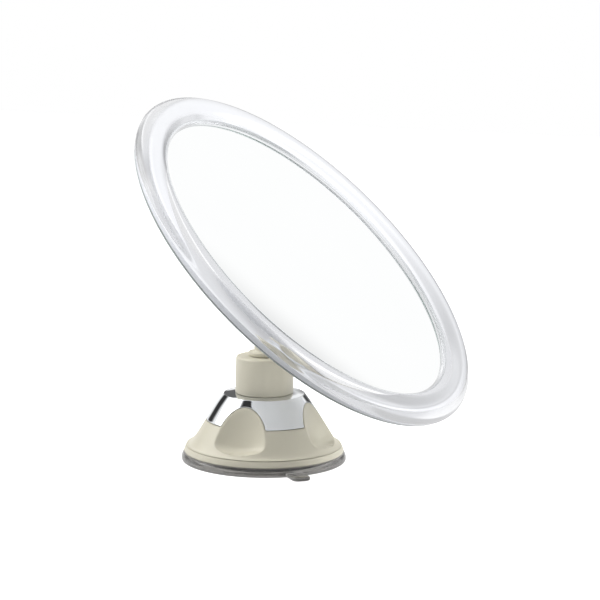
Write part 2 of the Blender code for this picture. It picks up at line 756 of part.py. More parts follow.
def cam_ring(carrier):
    flange_radius = bulge_radius(CAM_FLANGE_TOP) - CAM_FLANGE_CLEARANCE
    loop = [
        (CAM_RING_BORE, CAM_BOTTOM),
        (flange_radius, CAM_BOTTOM),
        (flange_radius, CAM_FLANGE_TOP),
        (CAM_RING_RADIUS, CAM_FLANGE_TOP),
        (CAM_RING_RADIUS, CAM_FLANGE_TOP + CAM_SPIGOT_HEIGHT),
        (CAM_RING_BORE, CAM_FLANGE_TOP + CAM_SPIGOT_HEIGHT),
    ]
    ring = turned("cam_ring", loop, BASE_STEPS, carrier, material("acetal", ACETAL, 0.4))
    combine(ring, [cam_sector(f"ramp_{i}", math.pi * i, carrier) for i in range(2)], "UNION")
    head_seat = CAM_BOTTOM + GAP + SCREW_HEAD_HEIGHT + GAP
    for i, turn in enumerate(leg_turns()):
        place = (PILLAR_CIRCLE * math.cos(turn), PILLAR_CIRCLE * math.sin(turn), 0)
        low = CAM_BOTTOM - OVERRUN
        hole = rod(f"cam_hole_{i}", SCREW_HOLE, low, CAM_FLANGE_TOP + OVERRUN, SCREW_STEPS, carrier, None, place)
        wide = SCREW_HEAD_RADIUS + GAP
        seat = rod(f"cam_seat_{i}", wide, low, head_seat, SCREW_STEPS, carrier, None, place)
        combine(ring, [hole, seat])
    finish(ring)
    length = CAM_FLANGE_TOP + CAM_SCREW_REACH - head_seat
    steel = material("steel", STEEL, 0.3, 1.0)
    loop = screw_loop(SCREW_RADIUS, length, SCREW_HEAD_RADIUS, SCREW_HEAD_HEIGHT)
    for i, turn in enumerate(leg_turns()):
        place = (PILLAR_CIRCLE * math.cos(turn), PILLAR_CIRCLE * math.sin(turn), head_seat - GAP)
        finish(turned(f"cam_screw_{i + 1}", loop, SCREW_STEPS, carrier, steel, place))
    return ring


def thrust_washer(carrier):
    bore = PIN_LENGTH / 2 + 2 * GAP
    steel = material("steel", STEEL, 0.3, 1.0)
    return washer(
        "thrust_washer",
        bore,
        THRUST_WASHER_OUTER,
        THRUST_WASHER_BOTTOM,
        THRUST_WASHER_THICKNESS,
        KNOB_STEPS,
        carrier,
        steel,
    )


def housing_screw_turns():
    return [math.pi / 2 + 2 * math.pi * i / HOUSING_SCREW_COUNT for i in range(HOUSING_SCREW_COUNT)]


def twist_grip(carrier):
    """An open shell with four scallops that show inside as bulges, and a hub that carries the cam ring."""
    ceiling = SHOULDER_HEIGHT - GRIP_CEILING_DROP
    loop = [(0, GRIP_BOTTOM), *cone_points(GRIP_BOTTOM, SHOULDER_HEIGHT), (CROWN_RADIUS, CROWN_HEIGHT)]
    loop += [(SPIGOT_RADIUS, CROWN_HEIGHT), (SPIGOT_RADIUS, SPIGOT_TOP), (0, SPIGOT_TOP)]
    grip = turned("twist_grip", loop, BASE_STEPS, carrier, material("cream_plastic", CREAM, 0.4))

    wall = [(radius - GRIP_WALL, height) for radius, height in cone_points(GRIP_BOTTOM, ceiling)]
    low = GRIP_BOTTOM - OVERRUN
    loop = [(0, low), (wall[0][0], low), *wall, (HUB_RADIUS, ceiling), (HUB_RADIUS, HUB_BOTTOM)]
    loop += [(HUB_BORE, HUB_BOTTOM), (HUB_BORE, HUB_CEILING), (0, HUB_CEILING)]
    hollow = turned("grip_hollow", loop, BASE_STEPS, carrier)
    bulges = []
    for i, turn in enumerate(dish_turns()):
        bulges.append(barrel(f"bulge_{i}", DISH_WALL, 3, INNER_BARREL_STEPS, turn, carrier))
    pillars = []
    holes = []
    for i, turn in enumerate(leg_turns()):
        place = (PILLAR_CIRCLE * math.cos(turn), PILLAR_CIRCLE * math.sin(turn), 0)
        top = HUB_CEILING + OVERRUN
        pillars.append(rod(f"pillar_{i}", PILLAR_RADIUS, HUB_BOTTOM, top, SCREW_STEPS, carrier, None, place))
        depth = CAM_FLANGE_TOP + CAM_SCREW_REACH + SCREW_DEPTH_SPARE
        low = HUB_BOTTOM - OVERRUN
        holes.append(rod(f"pillar_hole_{i}", SCREW_HOLE, low, depth, SCREW_STEPS, carrier, None, place))
    combine(hollow, bulges + pillars)

    crown = offset_inwards(skin_points(LEG_BOTTOM - GAP), TRIM_THICKNESS + GAP)
    crown = [(crown[0][0], LEG_BOTTOM - GAP), *crown[1:-1], (SPIGOT_RADIUS, crown[-1][1])]
    wide = GRIP_FOOT_RADIUS + OVERRUN
    high = CROWN_HEIGHT + OVERRUN
    loop = [(wide, LEG_BOTTOM - GAP), *crown, (SPIGOT_RADIUS, high), (wide, high)]
    seat = turned("trim_seat", loop, BASE_STEPS, carrier)
    combine(seat, [window(f"seat_window_{i}", GAP, turn, carrier) for i, turn in enumerate(dish_turns())])

    for i, turn in enumerate(housing_screw_turns()):
        place = (HOUSING_POST_CIRCLE * math.cos(turn), HOUSING_POST_CIRCLE * math.sin(turn), 0)
        low = HUB_CEILING - OVERRUN
        top = SPIGOT_TOP + OVERRUN
        holes.append(rod(f"roof_hole_{i}", SCREW_HOLE, low, top, SCREW_STEPS, carrier, None, place))
    combine(grip, [hollow, seat, *holes])
    dishes = [barrel(f"dish_{i}", 0, 5, BARREL_STEPS, turn, carrier) for i, turn in enumerate(dish_turns())]
    return finish(combine(grip, dishes))


def chrome_trim(carrier):
    outer = skin_points(LEG_BOTTOM)
    inner = offset_inwards(outer, TRIM_THICKNESS)
    inner = [(inner[0][0], LEG_BOTTOM), *inner[1:-1], (outer[-1][0], inner[-1][1])]
    look = material("chrome", CHROME, 0.06, 1.0)
    trim = turned("chrome_trim", outer + inner[::-1], BASE_STEPS, carrier, look)
    return finish(combine(trim, [window(f"window_{i}", 0, turn, carrier) for i, turn in enumerate(dish_turns())]))


def swivel_housing(carrier):
    bore = HOUSING_RADIUS - HOUSING_WALL
    neck_hole = NECK_SHANK_RADIUS + GAP
    corner = (HOUSING_TOP_RADIUS - HOUSING_EDGE, HOUSING_TOP - HOUSING_EDGE)
    loop = [
        (bore, HOUSING_BOTTOM),
        (HOUSING_RADIUS - HOUSING_FOOT_EDGE, HOUSING_BOTTOM),
        (HOUSING_RADIUS, HOUSING_BOTTOM + HOUSING_FOOT_EDGE),
        (HOUSING_RADIUS, HOUSING_BOTTOM + HOUSING_HEIGHT * HOUSING_TAPER_SHARE),
    ]
    loop += arc(corner, HOUSING_EDGE, 0, 90, 3)
    loop += [(neck_hole, HOUSING_TOP), (neck_hole, ROOF_UNDERSIDE), (bore, ROOF_UNDERSIDE)]
    look = material("cream_plastic", CREAM, 0.4)
    housing = turned("swivel_housing", loop, KNOB_STEPS, carrier, look)
    post_bottom = SPIGOT_TOP + GAP
    screw_top = post_bottom + HOUSING_SCREW_REACH
    head_seat = HUB_CEILING - GAP
    posts = []
    holes = []
    places = []
    for i, turn in enumerate(housing_screw_turns()):
        place = (HOUSING_POST_CIRCLE * math.cos(turn), HOUSING_POST_CIRCLE * math.sin(turn), 0)
        top = ROOF_UNDERSIDE + HOUSING_ROOF / 2
        posts.append(rod(f"post_{i}", HOUSING_POST_RADIUS, post_bottom, top, SCREW_STEPS, carrier, None, place))
        low = post_bottom - OVERRUN
        depth = screw_top + SCREW_DEPTH_SPARE
        holes.append(rod(f"post_hole_{i}", SCREW_HOLE, low, depth, SCREW_STEPS, carrier, None, place))
        places.append((place[0], place[1], head_seat))
    combine(housing, posts, "UNION")
    finish(combine(housing, holes))
    steel = material("steel", STEEL, 0.3, 1.0)
    loop = screw_loop(SCREW_RADIUS, screw_top - head_seat, SCREW_HEAD_RADIUS, SCREW_HEAD_HEIGHT)
    for i, place in enumerate(places):
        finish(turned(f"housing_screw_{i + 1}", loop, SCREW_STEPS, carrier, steel, place))
    return housing


def neck(carrier):
    """A turned post whose ball end has two flats for the hinge, and the washers and screw that hold it down."""
    foot = FLANGE_TOP + NECK_FILLET
    flat_bottom = PIVOT_HEIGHT - FLAT_HEIGHT
    start = math.degrees(math.asin(NECK_RADIUS / EYE_RADIUS))
    screw_top = RETAINING_WASHER_BOTTOM - GAP + SWIVEL_SCREW_LENGTH
    bore = SWIVEL_SCREW_RADIUS + GAP
    loop = [
        (bore, NECK_BOTTOM),
        (NECK_SHANK_RADIUS, NECK_BOTTOM),
        (NECK_SHANK_RADIUS, FLANGE_BOTTOM),
        (NECK_FLANGE_RADIUS, FLANGE_BOTTOM),
        (NECK_FLANGE_RADIUS, FLANGE_TOP - NECK_FLANGE_EDGE),
        (NECK_FLANGE_RADIUS - NECK_FLANGE_EDGE, FLANGE_TOP),
    ]
    loop += arc((NECK_RADIUS + NECK_FILLET, foot), NECK_FILLET, 270, 180, 3)
    ball = arc((0, 0), EYE_RADIUS, start - 90, 90, 8)
    loop += [(max(radius, 0), PIVOT_HEIGHT + height) for radius, height in ball[:-1]]
    loop += [(0, PIVOT_HEIGHT + EYE_RADIUS), (0, screw_top + SCREW_DEPTH_SPARE)]
    loop += [(bore, screw_top + SCREW_DEPTH_SPARE)]
    loop = loop[-2:] + loop[:-2]
    post = turned("neck", loop, KNOB_STEPS, carrier, material("cream_plastic", CREAM, 0.4))
    tools = []
    tall = FLAT_HEIGHT + EYE_RADIUS + OVERRUN
    wide = 2 * (EYE_RADIUS + OVERRUN)
    for side in (-1, 1):
        centre = (side * (EYE_THICKNESS / 2 + EYE_RADIUS / 2), 0, flat_bottom + tall / 2)
        tools.append(box(f"flat_{side}", (EYE_RADIUS, wide, tall), centre, carrier))
    hole = PIVOT_RADIUS + GAP
    across = (0, math.pi / 2, 0)
    place = (0, 0, PIVOT_HEIGHT)
    tools.append(rod("eye_hole", hole, -EYE_RADIUS, EYE_RADIUS, SMALL_STEPS, carrier, None, place, across))
    finish(combine(post, tools))
    washer(
        "swivel_friction_washer",
        NECK_SHANK_RADIUS + GAP,
        SWIVEL_WASHER_RADIUS,
        NECK_BOTTOM,
        FRICTION_WASHER_THICKNESS,
        SMALL_STEPS,
        carrier,
        material("acetal", ACETAL, 0.4),
    )
    steel = material("steel", STEEL, 0.3, 1.0)
    washer(
        "swivel_retaining_washer",
        bore,
        SWIVEL_WASHER_RADIUS,
        RETAINING_WASHER_BOTTOM,
        RETAINING_WASHER_THICKNESS,
        SMALL_STEPS,
        carrier,
        steel,
    )
    loop = screw_loop(
        SWIVEL_SCREW_RADIUS, SWIVEL_SCREW_LENGTH, SWIVEL_SCREW_HEAD_RADIUS, SWIVEL_SCREW_HEAD_HEIGHT
    )
    place = (0, 0, RETAINING_WASHER_BOTTOM - GAP)
    finish(turned("swivel_screw", loop, SCREW_STEPS, carrier, steel, place))
    return post


def acrylic_ring(carrier):
    """An oval section turned into a ring, with a rebate cut into its back for the glass and its cover."""
    section = []
    for i in range(RING_SECTION_STEPS):
        angle = 2 * math.pi * i / RING_SECTION_STEPS
        radius = RING_CENTRE_RADIUS + RING_WIDTH / 2 * math.cos(angle)
        section.append((radius, MIRROR_STANDOFF + RING_THICKNESS / 2 * math.sin(angle)))
    look = material("clear_acrylic", CLEAR, 0.03, transmission=1.0)
    ring = turned("acrylic_ring", section, RING_STEPS, carrier, look)
    inner = RING_RADIUS - RING_WIDTH - OVERRUN
    back = MIRROR_STANDOFF - RING_THICKNESS
    loop = [(inner, back), (REBATE_RADIUS, back), (REBATE_RADIUS, REBATE_FACE), (inner, REBATE_FACE)]
    rebate = turned("rebate", loop, RING_STEPS, carrier)
    return finish(combine(ring, [rebate]))


def glass_sag(radius):
    """How far the glass lies behind its edge at a radius."""
    deep = math.sqrt(GLASS_CURVE_RADIUS**2 - radius**2)
    return deep - math.sqrt(GLASS_CURVE_RADIUS**2 - GLASS_RADIUS**2)


def bowl(edge, radius, count):
    """Points from the rim to the axis of a bowl that follows the glass, whose glass edge would lie at edge."""
    radii = [radius * (1 - i / count) for i in range(count + 1)]
    return [(r, edge - glass_sag(r)) for r in radii]


def mirror_glass(carrier):
    loop = bowl(GLASS_EDGE_FRONT, GLASS_RADIUS, 3) + bowl(GLASS_EDGE_BACK, GLASS_RADIUS, 3)[::-1]
    look = material("mirror_glass", SILVER, 0.02, 1.0)
    return finish(turned("mirror_glass", loop[3::-1] + loop[:3:-1], RING_STEPS, carrier, look))


def foam_pad(carrier):
    front = bowl(GLASS_EDGE_BACK - GAP, PAD_RADIUS, 2)
    back = bowl(GLASS_EDGE_BACK - GAP - PAD_THICKNESS, PAD_RADIUS, 2)
    look = material("foam", FOAM, 0.9)
    return finish(turned("foam_pad", front[::-1] + back, KNOB_STEPS, carrier, look))


def back_cover(carrier):
    """A shallow dish whose rim seats in the ring's rebate, with a thick land for the yoke."""
    inside = GLASS_EDGE_BACK - 2 * GAP - PAD_THICKNESS
    front = bowl(inside, PAD_RADIUS + GAP, 2)[::-1]
    land = land_back()
    rim_in = GLASS_RADIUS - COVER_RIM_WIDTH
    rim_face = COVER_FRONT - glass_sag(rim_in)
    step_in = rim_in - COVER_STEP_WIDTH
    front += [(step_in, rim_face - COVER_STEP_DEPTH), (rim_in, rim_face), (GLASS_RADIUS, COVER_FRONT)]
    slope_start = COVER_LAND_RADIUS + COVER_LAND_SLOPE
    rest = [
        (GLASS_RADIUS, COVER_RIM_BACK),
        (rim_in + COVER_WALL, COVER_RIM_BACK),
        (step_in + COVER_WALL / 2, rim_face - COVER_STEP_DEPTH - COVER_WALL),
        (PAD_RADIUS, inside - COVER_WALL - glass_sag(PAD_RADIUS)),
        (slope_start, inside - COVER_WALL - glass_sag(slope_start)),
        (COVER_LAND_RADIUS, land),
        (0, land),
    ]
    cover = turned("back_cover", front + rest, RING_STEPS, carrier, material("white_plastic", WHITE, 0.4))
    holes = []
    for i, (x, y) in enumerate(yoke_screw_places()):
        top = land + YOKE_SCREW_DEPTH + SCREW_DEPTH_SPARE
        place = (x, y, 0)
        holes.append(rod(f"cover_hole_{i}", SCREW_HOLE, land - OVERRUN, top, SCREW_STEPS, carrier, None, place))
    return finish(combine(cover, holes))


def land_back():
    """The back of the cover's land, along the mirror's axis."""
    inside = GLASS_EDGE_BACK - 2 * GAP - PAD_THICKNESS
    return inside - glass_sag(0) - COVER_LAND_THICKNESS


def yoke_screw_places():
    x = YOKE_SCREW_CIRCLE * math.cos(YOKE_SCREW_ANGLE)
    y = YOKE_SCREW_CIRCLE * math.sin(YOKE_SCREW_ANGLE)
    return [(x, y), (-x, y), (-x, -y), (x, -y)]


def ear_inside():
    """Half the clear width between the yoke's ears."""
    return EYE_THICKNESS / 2 + GAP + PIVOT_WASHER_THICKNESS + GAP


def hinge_yoke(carrier):
    """A round plate with two tapering ears that end round the pivot."""
    front = land_back() - GAP
    back = front - YOKE_PLATE_THICKNESS
    loop = [
        (0, back),
        (YOKE_PLATE_RADIUS - YOKE_EDGE, back),
        (YOKE_PLATE_RADIUS, back + YOKE_EDGE),
        (YOKE_PLATE_RADIUS, front),
        (0, front),
    ]
    look = material("cream_plastic", CREAM, 0.4)
    yoke = turned("hinge_yoke", loop, KNOB_STEPS, carrier, look)
    root = back + EAR_JOIN
    half = EAR_ROOT_WIDTH / 2
    outline = [(root, -half), (root, half)] + arc((0, 0), EAR_RADIUS, 110, 250, 12)
    inside = ear_inside()
    ears = []
    for side in (-1, 1):
        place = (side * (inside + EAR_THICKNESS / 2), 0, 0)
        ears.append(slab(f"ear_{side}", outline, EAR_THICKNESS, carrier, None, place, (0, -math.pi / 2, 0)))
    combine(yoke, ears, "UNION")
    reach = inside + EAR_THICKNESS + OVERRUN
    across = (0, math.pi / 2, 0)
    bore = PIVOT_RADIUS + GAP
    holes = [rod("ear_hole", bore, -reach, reach, SMALL_STEPS, carrier, None, rotation=across)]
    steel = material("steel", STEEL, 0.3, 1.0)
    length = front + GAP + YOKE_SCREW_DEPTH - (back - GAP)
    loop = screw_loop(SCREW_RADIUS, length, SCREW_HEAD_RADIUS, SCREW_HEAD_HEIGHT)
    for i, (x, y) in enumerate(yoke_screw_places()):
        low = back - OVERRUN
        top = front + OVERRUN
        holes.append(rod(f"yoke_hole_{i}", SCREW_HOLE, low, top, SCREW_STEPS, carrier, None, (x, y, 0)))
        finish(turned(f"yoke_screw_{i + 1}", loop, SCREW_STEPS, carrier, steel, (x, y, back - GAP)))
    return finish(combine(yoke, holes))


def pivot(carrier):
    """The hinge's screw along X, with a friction washer on each side of the eye, and a domed nut."""
    across = (0, math.pi / 2, 0)
    bore = PIVOT_RADIUS + GAP
    steel = material("steel", STEEL, 0.3, 1.0)
    acetal = material("acetal", ACETAL, 0.4)
    face = EYE_THICKNESS / 2 + GAP
    for name, start in (("right", face), ("left", -face - PIVOT_WASHER_THICKNESS)):
        washer(
            f"pivot_washer_{name}",
            bore,
            PIVOT_WASHER_RADIUS,
            start,
            PIVOT_WASHER_THICKNESS,
            SMALL_STEPS,
            carrier,
            acetal,
            across,
        )
    outside = ear_inside() + EAR_THICKNESS + GAP
    spring_end = outside + SPRING_WASHER_THICKNESS
    washer(
        "pivot_spring_washer",
        bore,
        SPRING_WASHER_RADIUS,
        -spring_end,
        SPRING_WASHER_THICKNESS,
        SMALL_STEPS,
        carrier,
        steel,
        across,
    )
    nut_face = spring_end + GAP
    nut = rod("pivot_nut", NUT_RADIUS, -nut_face - NUT_HEIGHT, -nut_face, 6, carrier, steel, rotation=across)
    low = nut_face + NUT_HEIGHT
    dome = [(0, -low + NUT_HEIGHT / 2), (NUT_DOME_RADIUS, -low + NUT_HEIGHT / 2), (NUT_DOME_RADIUS, -low)]
    for i in range(1, 5):
        angle = math.pi / 2 * i / 4
        dome.append((NUT_DOME_RADIUS * math.cos(angle), -low - NUT_DOME_HEIGHT * math.sin(angle)))
    dome[-1] = (0, -low - NUT_DOME_HEIGHT)
    dome = turned("nut_dome", dome, SMALL_STEPS, carrier, None, rotation=across)
    depth = low + NUT_DOME_HEIGHT * (1 - NUT_BORE_SHARE) / 2
    hole = rod("nut_hole", bore, -depth, -nut_face + OVERRUN, SCREW_STEPS, carrier, None, rotation=across)
    combine(nut, [dome], "UNION")
    finish(combine(nut, [hole]))
    head_seat = outside
    loop = screw_loop(PIVOT_RADIUS, head_seat + low - GAP, PIVOT_HEAD_RADIUS, PIVOT_HEAD_HEIGHT)
    place = (head_seat, 0, 0)
    finish(turned("pivot_screw", loop, SMALL_STEPS, carrier, steel, place, (0, -math.pi / 2, 0)))


clear_scene()
base_frame = frame("base_frame", rotation=(0, 0, GRIP_TURN))
stem_frame = frame("stem_frame", rotation=(0, 0, GRIP_TURN))
grip_frame = frame("grip_frame", rotation=(0, 0, GRIP_TURN))
neck_frame = frame("neck_frame")
mirror_frame = frame("mirror_frame", (0, 0, PIVOT_HEIGHT), (TILT, 0, 0), neck_frame)

suction_cup(base_frame)
pressure_plate(base_frame)
thrust_washer(base_frame)
lift_stem(stem_frame)
cam_ring(grip_frame)
twist_grip(grip_frame)
chrome_trim(grip_frame)
swivel_housing(grip_frame)
neck(neck_frame)
acrylic_ring(mirror_frame)
mirror_glass(mirror_frame)
foam_pad(mirror_frame)
back_cover(mirror_frame)
hinge_yoke(mirror_frame)
pivot(mirror_frame)
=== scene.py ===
"""Suction cup magnifying mirror: a twist-lock suction base, a swivelling neck and a tilting round mirror."""

import json
from math import acos, asin, atan2, ceil, cos, degrees, hypot, pi, radians, sin, sqrt, tan

import bmesh
import bpy
import numpy as np
from mathutils import Matrix, Vector


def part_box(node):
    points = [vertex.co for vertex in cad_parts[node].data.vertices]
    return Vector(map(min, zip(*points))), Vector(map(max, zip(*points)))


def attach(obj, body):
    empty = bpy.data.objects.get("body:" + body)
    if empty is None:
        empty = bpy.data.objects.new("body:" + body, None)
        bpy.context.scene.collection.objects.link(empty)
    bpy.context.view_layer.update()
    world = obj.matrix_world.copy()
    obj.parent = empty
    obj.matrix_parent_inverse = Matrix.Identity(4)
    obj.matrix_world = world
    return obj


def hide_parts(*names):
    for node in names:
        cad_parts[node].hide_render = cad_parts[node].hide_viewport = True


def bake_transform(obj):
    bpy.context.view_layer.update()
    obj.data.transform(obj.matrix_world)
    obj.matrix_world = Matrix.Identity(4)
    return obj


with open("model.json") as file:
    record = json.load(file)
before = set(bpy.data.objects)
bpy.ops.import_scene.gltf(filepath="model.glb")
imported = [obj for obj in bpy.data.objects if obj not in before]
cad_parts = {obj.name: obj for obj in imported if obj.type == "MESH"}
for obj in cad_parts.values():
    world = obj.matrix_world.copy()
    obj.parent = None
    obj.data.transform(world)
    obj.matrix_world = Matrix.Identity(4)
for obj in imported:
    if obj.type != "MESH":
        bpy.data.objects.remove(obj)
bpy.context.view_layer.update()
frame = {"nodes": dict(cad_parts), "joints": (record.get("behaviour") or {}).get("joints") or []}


# Suction cup: a soft grey disc moulded in clear vinyl with a little grey in it. It lies flat, with a vee
# groove round its underside, and a pull tab on its edge breaks the seal.
CUP_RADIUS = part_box("suction_cup")[1].x
CUP_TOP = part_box("suction_cup")[1].z
CUP_RIM_HEIGHT = 0.0039
CUP_RIM_WIDTH = 0.0065
CUP_RIM_SLOPE = 0.0009
CUP_RIM_STEP = 0.0005
CUP_RIM_SHOULDER = 0.0012
CUP_WEB = 0.0024
CUP_GROOVE_RADIUS = 0.0325
CUP_GROOVE_HALF = 0.0012
CUP_GROOVE_DEPTH = 0.0008
CUP_BOSS_RADIUS = 0.0105
CUP_THROAT = 0.0045
CUP_POCKET_RADIUS = 0.0078
CUP_POCKET_FLOOR = 0.0031
CUP_POCKET_ROOF = 0.0055
TAB_HALF = 0.0044
TAB_REACH = 0.0107
TAB_ROOT = 0.004
TAB_BOTTOM = 0.0004
TAB_TOP = 0.0019
TAB_CORNER = 0.003
TAB_DIRECTION = radians(-131.6)
FINE_EDGE = 0.0002
SMALL_EDGE = 0.0004
EDGE = 0.0005
SOFT_EDGE = 0.0006
SHARP_ANGLE = radians(34)
NOISE_LOW, NOISE_HIGH = 0.3, 0.7
CORNER_STEP = radians(15)
CORNER_SHARE = 0.48
ON_AXIS = 1e-7
BASE_STEPS = 144


def linear(colour):
    """A colour in sRGB steps as the shader takes it."""
    shares = [step / 255 for step in colour]
    return (*[s / 12.92 if s <= 0.04045 else ((s + 0.055) / 1.055) ** 2.4 for s in shares], 1)


def adjusted(tree, node, *values, **named):
    """Gives a node its settings and sockets by name, or its sockets in order, by values or other sockets."""
    sockets = list(zip(node.inputs, values))
    for name, value in named.items():
        if hasattr(node, name):
            setattr(node, name, value)
        else:
            sockets.append((node.inputs[name.replace("_", " ")], value))
    for socket, value in sockets:
        if isinstance(value, bpy.types.NodeSocket):
            tree.links.new(value, socket)
        else:
            socket.default_value = value
    return node


def node_with(tree, kind, *values, **named):
    return adjusted(tree, tree.nodes.new(kind), *values, **named)


def mottle(tree, size, detail=2.0, stretch=(1, 1, 1)):
    """An uneven pattern on the piece itself, with features of about this size in metres."""
    place = node_with(tree, "ShaderNodeTexCoord").outputs["Object"]
    turn = node_with(tree, "ShaderNodeMapping", Vector=place, Scale=stretch).outputs["Vector"]
    noise = node_with(tree, "ShaderNodeTexNoise", Vector=turn, Scale=1 / size, Detail=detail)
    return noise.outputs["Fac"]


def finish(name, colour, roughness, shades=None, gloss=None, relief=None, **sockets):
    """A material that is uneven in shade, gloss and relief. Each is given by the size of its marks in metres,
    then two colours, two roughnesses, or a depth and a strength, and then its detail and its stretch."""
    look = bpy.data.materials.new(name)
    look.use_nodes = True
    tree = look.node_tree
    shader = tree.nodes["Principled BSDF"]
    adjusted(tree, shader, Base_Color=linear(colour), Roughness=roughness, **sockets)
    if shades:
        size, first, second, *pattern = shades
        mix = node_with(tree, "ShaderNodeMix", data_type="RGBA")
        adjusted(tree, mix, Factor=mottle(tree, size, *pattern), A=linear(first), B=linear(second))
        adjusted(tree, shader, Base_Color=mix.outputs["Result"])
    if gloss:
        size, low, high, *pattern = gloss
        span = node_with(tree, "ShaderNodeMapRange", From_Min=NOISE_LOW, From_Max=NOISE_HIGH)
        adjusted(tree, span, Value=mottle(tree, size, *pattern), To_Min=low, To_Max=high)
        adjusted(tree, shader, Roughness=span.outputs["Result"])
    if relief:
        size, depth, strength, *pattern = relief
        height = mottle(tree, size, *pattern)
        bump = node_with(tree, "ShaderNodeBump", Height=height, Distance=depth, Strength=strength)
        adjusted(tree, shader, Normal=bump.outputs["Normal"])
    return look


def rounded(corners, closed=True):
    """A profile of (radius, height, rounding) corners as points, with each corner turned into an arc."""
    points = []
    count = len(corners)
    for i, (x, y, size) in enumerate(corners):
        here = Vector((x, y))
        if size == 0 or (not closed and i in (0, count - 1)):
            points.append(here)
            continue
        to_before = Vector(corners[i - 1][:2]) - here
        to_after = Vector(corners[(i + 1) % count][:2]) - here
        half = to_before.angle(to_after) / 2
        reach = min(size / tan(half), CORNER_SHARE * to_before.length, CORNER_SHARE * to_after.length)
        before, after = to_before.normalized(), to_after.normalized()
        centre = here + (before + after).normalized() * (reach * tan(half) / sin(half))
        start = here + before * reach - centre
        end = here + after * reach - centre
        swept = atan2(start.x * end.y - start.y * end.x, start.dot(end))
        steps = max(2, ceil(abs(swept) / CORNER_STEP))
        for step in range(steps + 1):
            points.append(centre + Matrix.Rotation(swept * step / steps, 2) @ start)
    return [(point[0], point[1]) for point in points]


def as_mesh(name, shape):
    bmesh.ops.recalc_face_normals(shape, faces=shape.faces)
    mesh = bpy.data.meshes.new(name)
    shape.to_mesh(mesh)
    shape.free()
    return mesh


def moved(mesh, way):
    mesh.transform(way)
    return mesh


def ring_of(angles, radius, height):
    """Points round the axis. Their radius and height may be one number or one for each."""
    return np.stack([radius * np.cos(angles), radius * np.sin(angles), np.full_like(angles, height)], axis=-1)


def rings(angles, profile):
    return [ring_of(angles, radius, height) for radius, height in profile]


def lofted(name, rows):
    """A closed surface through rings of points that run from axis to axis, or round a wall as a loop."""
    shape = bmesh.new()
    grid = []
    for ring in rows:
        if np.hypot(ring[:, 0], ring[:, 1]).max() < ON_AXIS:
            grid.append([shape.verts.new(ring[0])] * len(ring))
        else:
            grid.append([shape.verts.new(point) for point in ring])
    for ring, following in zip(grid, grid[1:] + grid[:1]):
        for k in range(len(ring)):
            after = (k + 1) % len(ring)
            corners = list(dict.fromkeys([ring[k], ring[after], following[after], following[k]]))
            if len(corners) > 2:
                shape.faces.new(corners)
    return as_mesh(name, shape)


def turned(name, profile, steps):
    """A closed profile of (radius, height) points turned about Z."""
    return lofted(name, rings(2 * pi * np.arange(steps) / steps, profile))


def plate_shape(name, outline, low, high, edge=0.0):
    """A flat outline of (x, y) points between two heights, with its edges rounded."""
    shape = bmesh.new()
    base = shape.faces.new([shape.verts.new((x, y, low)) for x, y in outline])
    grown = bmesh.ops.extrude_face_region(shape, geom=[base])["geom"]
    raised = [part for part in grown if isinstance(part, bmesh.types.BMVert)]
    bmesh.ops.translate(shape, vec=(0, 0, high - low), verts=raised)
    if edge:
        rims = [e for e in shape.edges if abs(e.verts[0].co.z - e.verts[1].co.z) < ON_AXIS]
        bmesh.ops.bevel(shape, geom=rims, offset=edge, segments=3, profile=0.5, affect="EDGES")
    return as_mesh(name, shape)


def arc(x, y, radius, start, end, steps=8):
    """Points on an arc, with its angles in degrees."""
    angles = [radians(start + (end - start) * i / steps) for i in range(steps + 1)]
    return [(x + radius * cos(a), y + radius * sin(a)) for a in angles]


def placed(name, data):
    piece = bpy.data.objects.new(name, data)
    bpy.context.scene.collection.objects.link(piece)
    return piece


def evaluated(piece):
    """A plain mesh of the piece as its modifiers leave it."""
    graph = bpy.context.evaluated_depsgraph_get()
    return bpy.data.meshes.new_from_object(piece.evaluated_get(graph))


def carved(mesh, tools, operation="DIFFERENCE"):
    """The mesh cut by, or joined with, each tool mesh."""
    body = placed(mesh.name, mesh)
    helpers = [placed(tool.name, tool) for tool in tools]
    for helper in helpers:
        step = body.modifiers.new(helper.name, "BOOLEAN")
        step.operation = operation
        step.solver = "EXACT"
        step.object = helper
    result = evaluated(body)
    for helper in [body, *helpers]:
        bpy.data.objects.remove(helper)
    return result


def fitted(name, mesh, look, nodes, body=None):
    """A finished piece that stands for its solids. It rides on its body, where it has only one."""
    piece = placed(name, mesh)
    mesh.materials.clear()
    mesh.materials.append(look)
    mesh.shade_smooth()
    mesh.set_sharp_from_angle(angle=SHARP_ANGLE)
    if body:
        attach(piece, body)
    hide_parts(*nodes)
    return piece


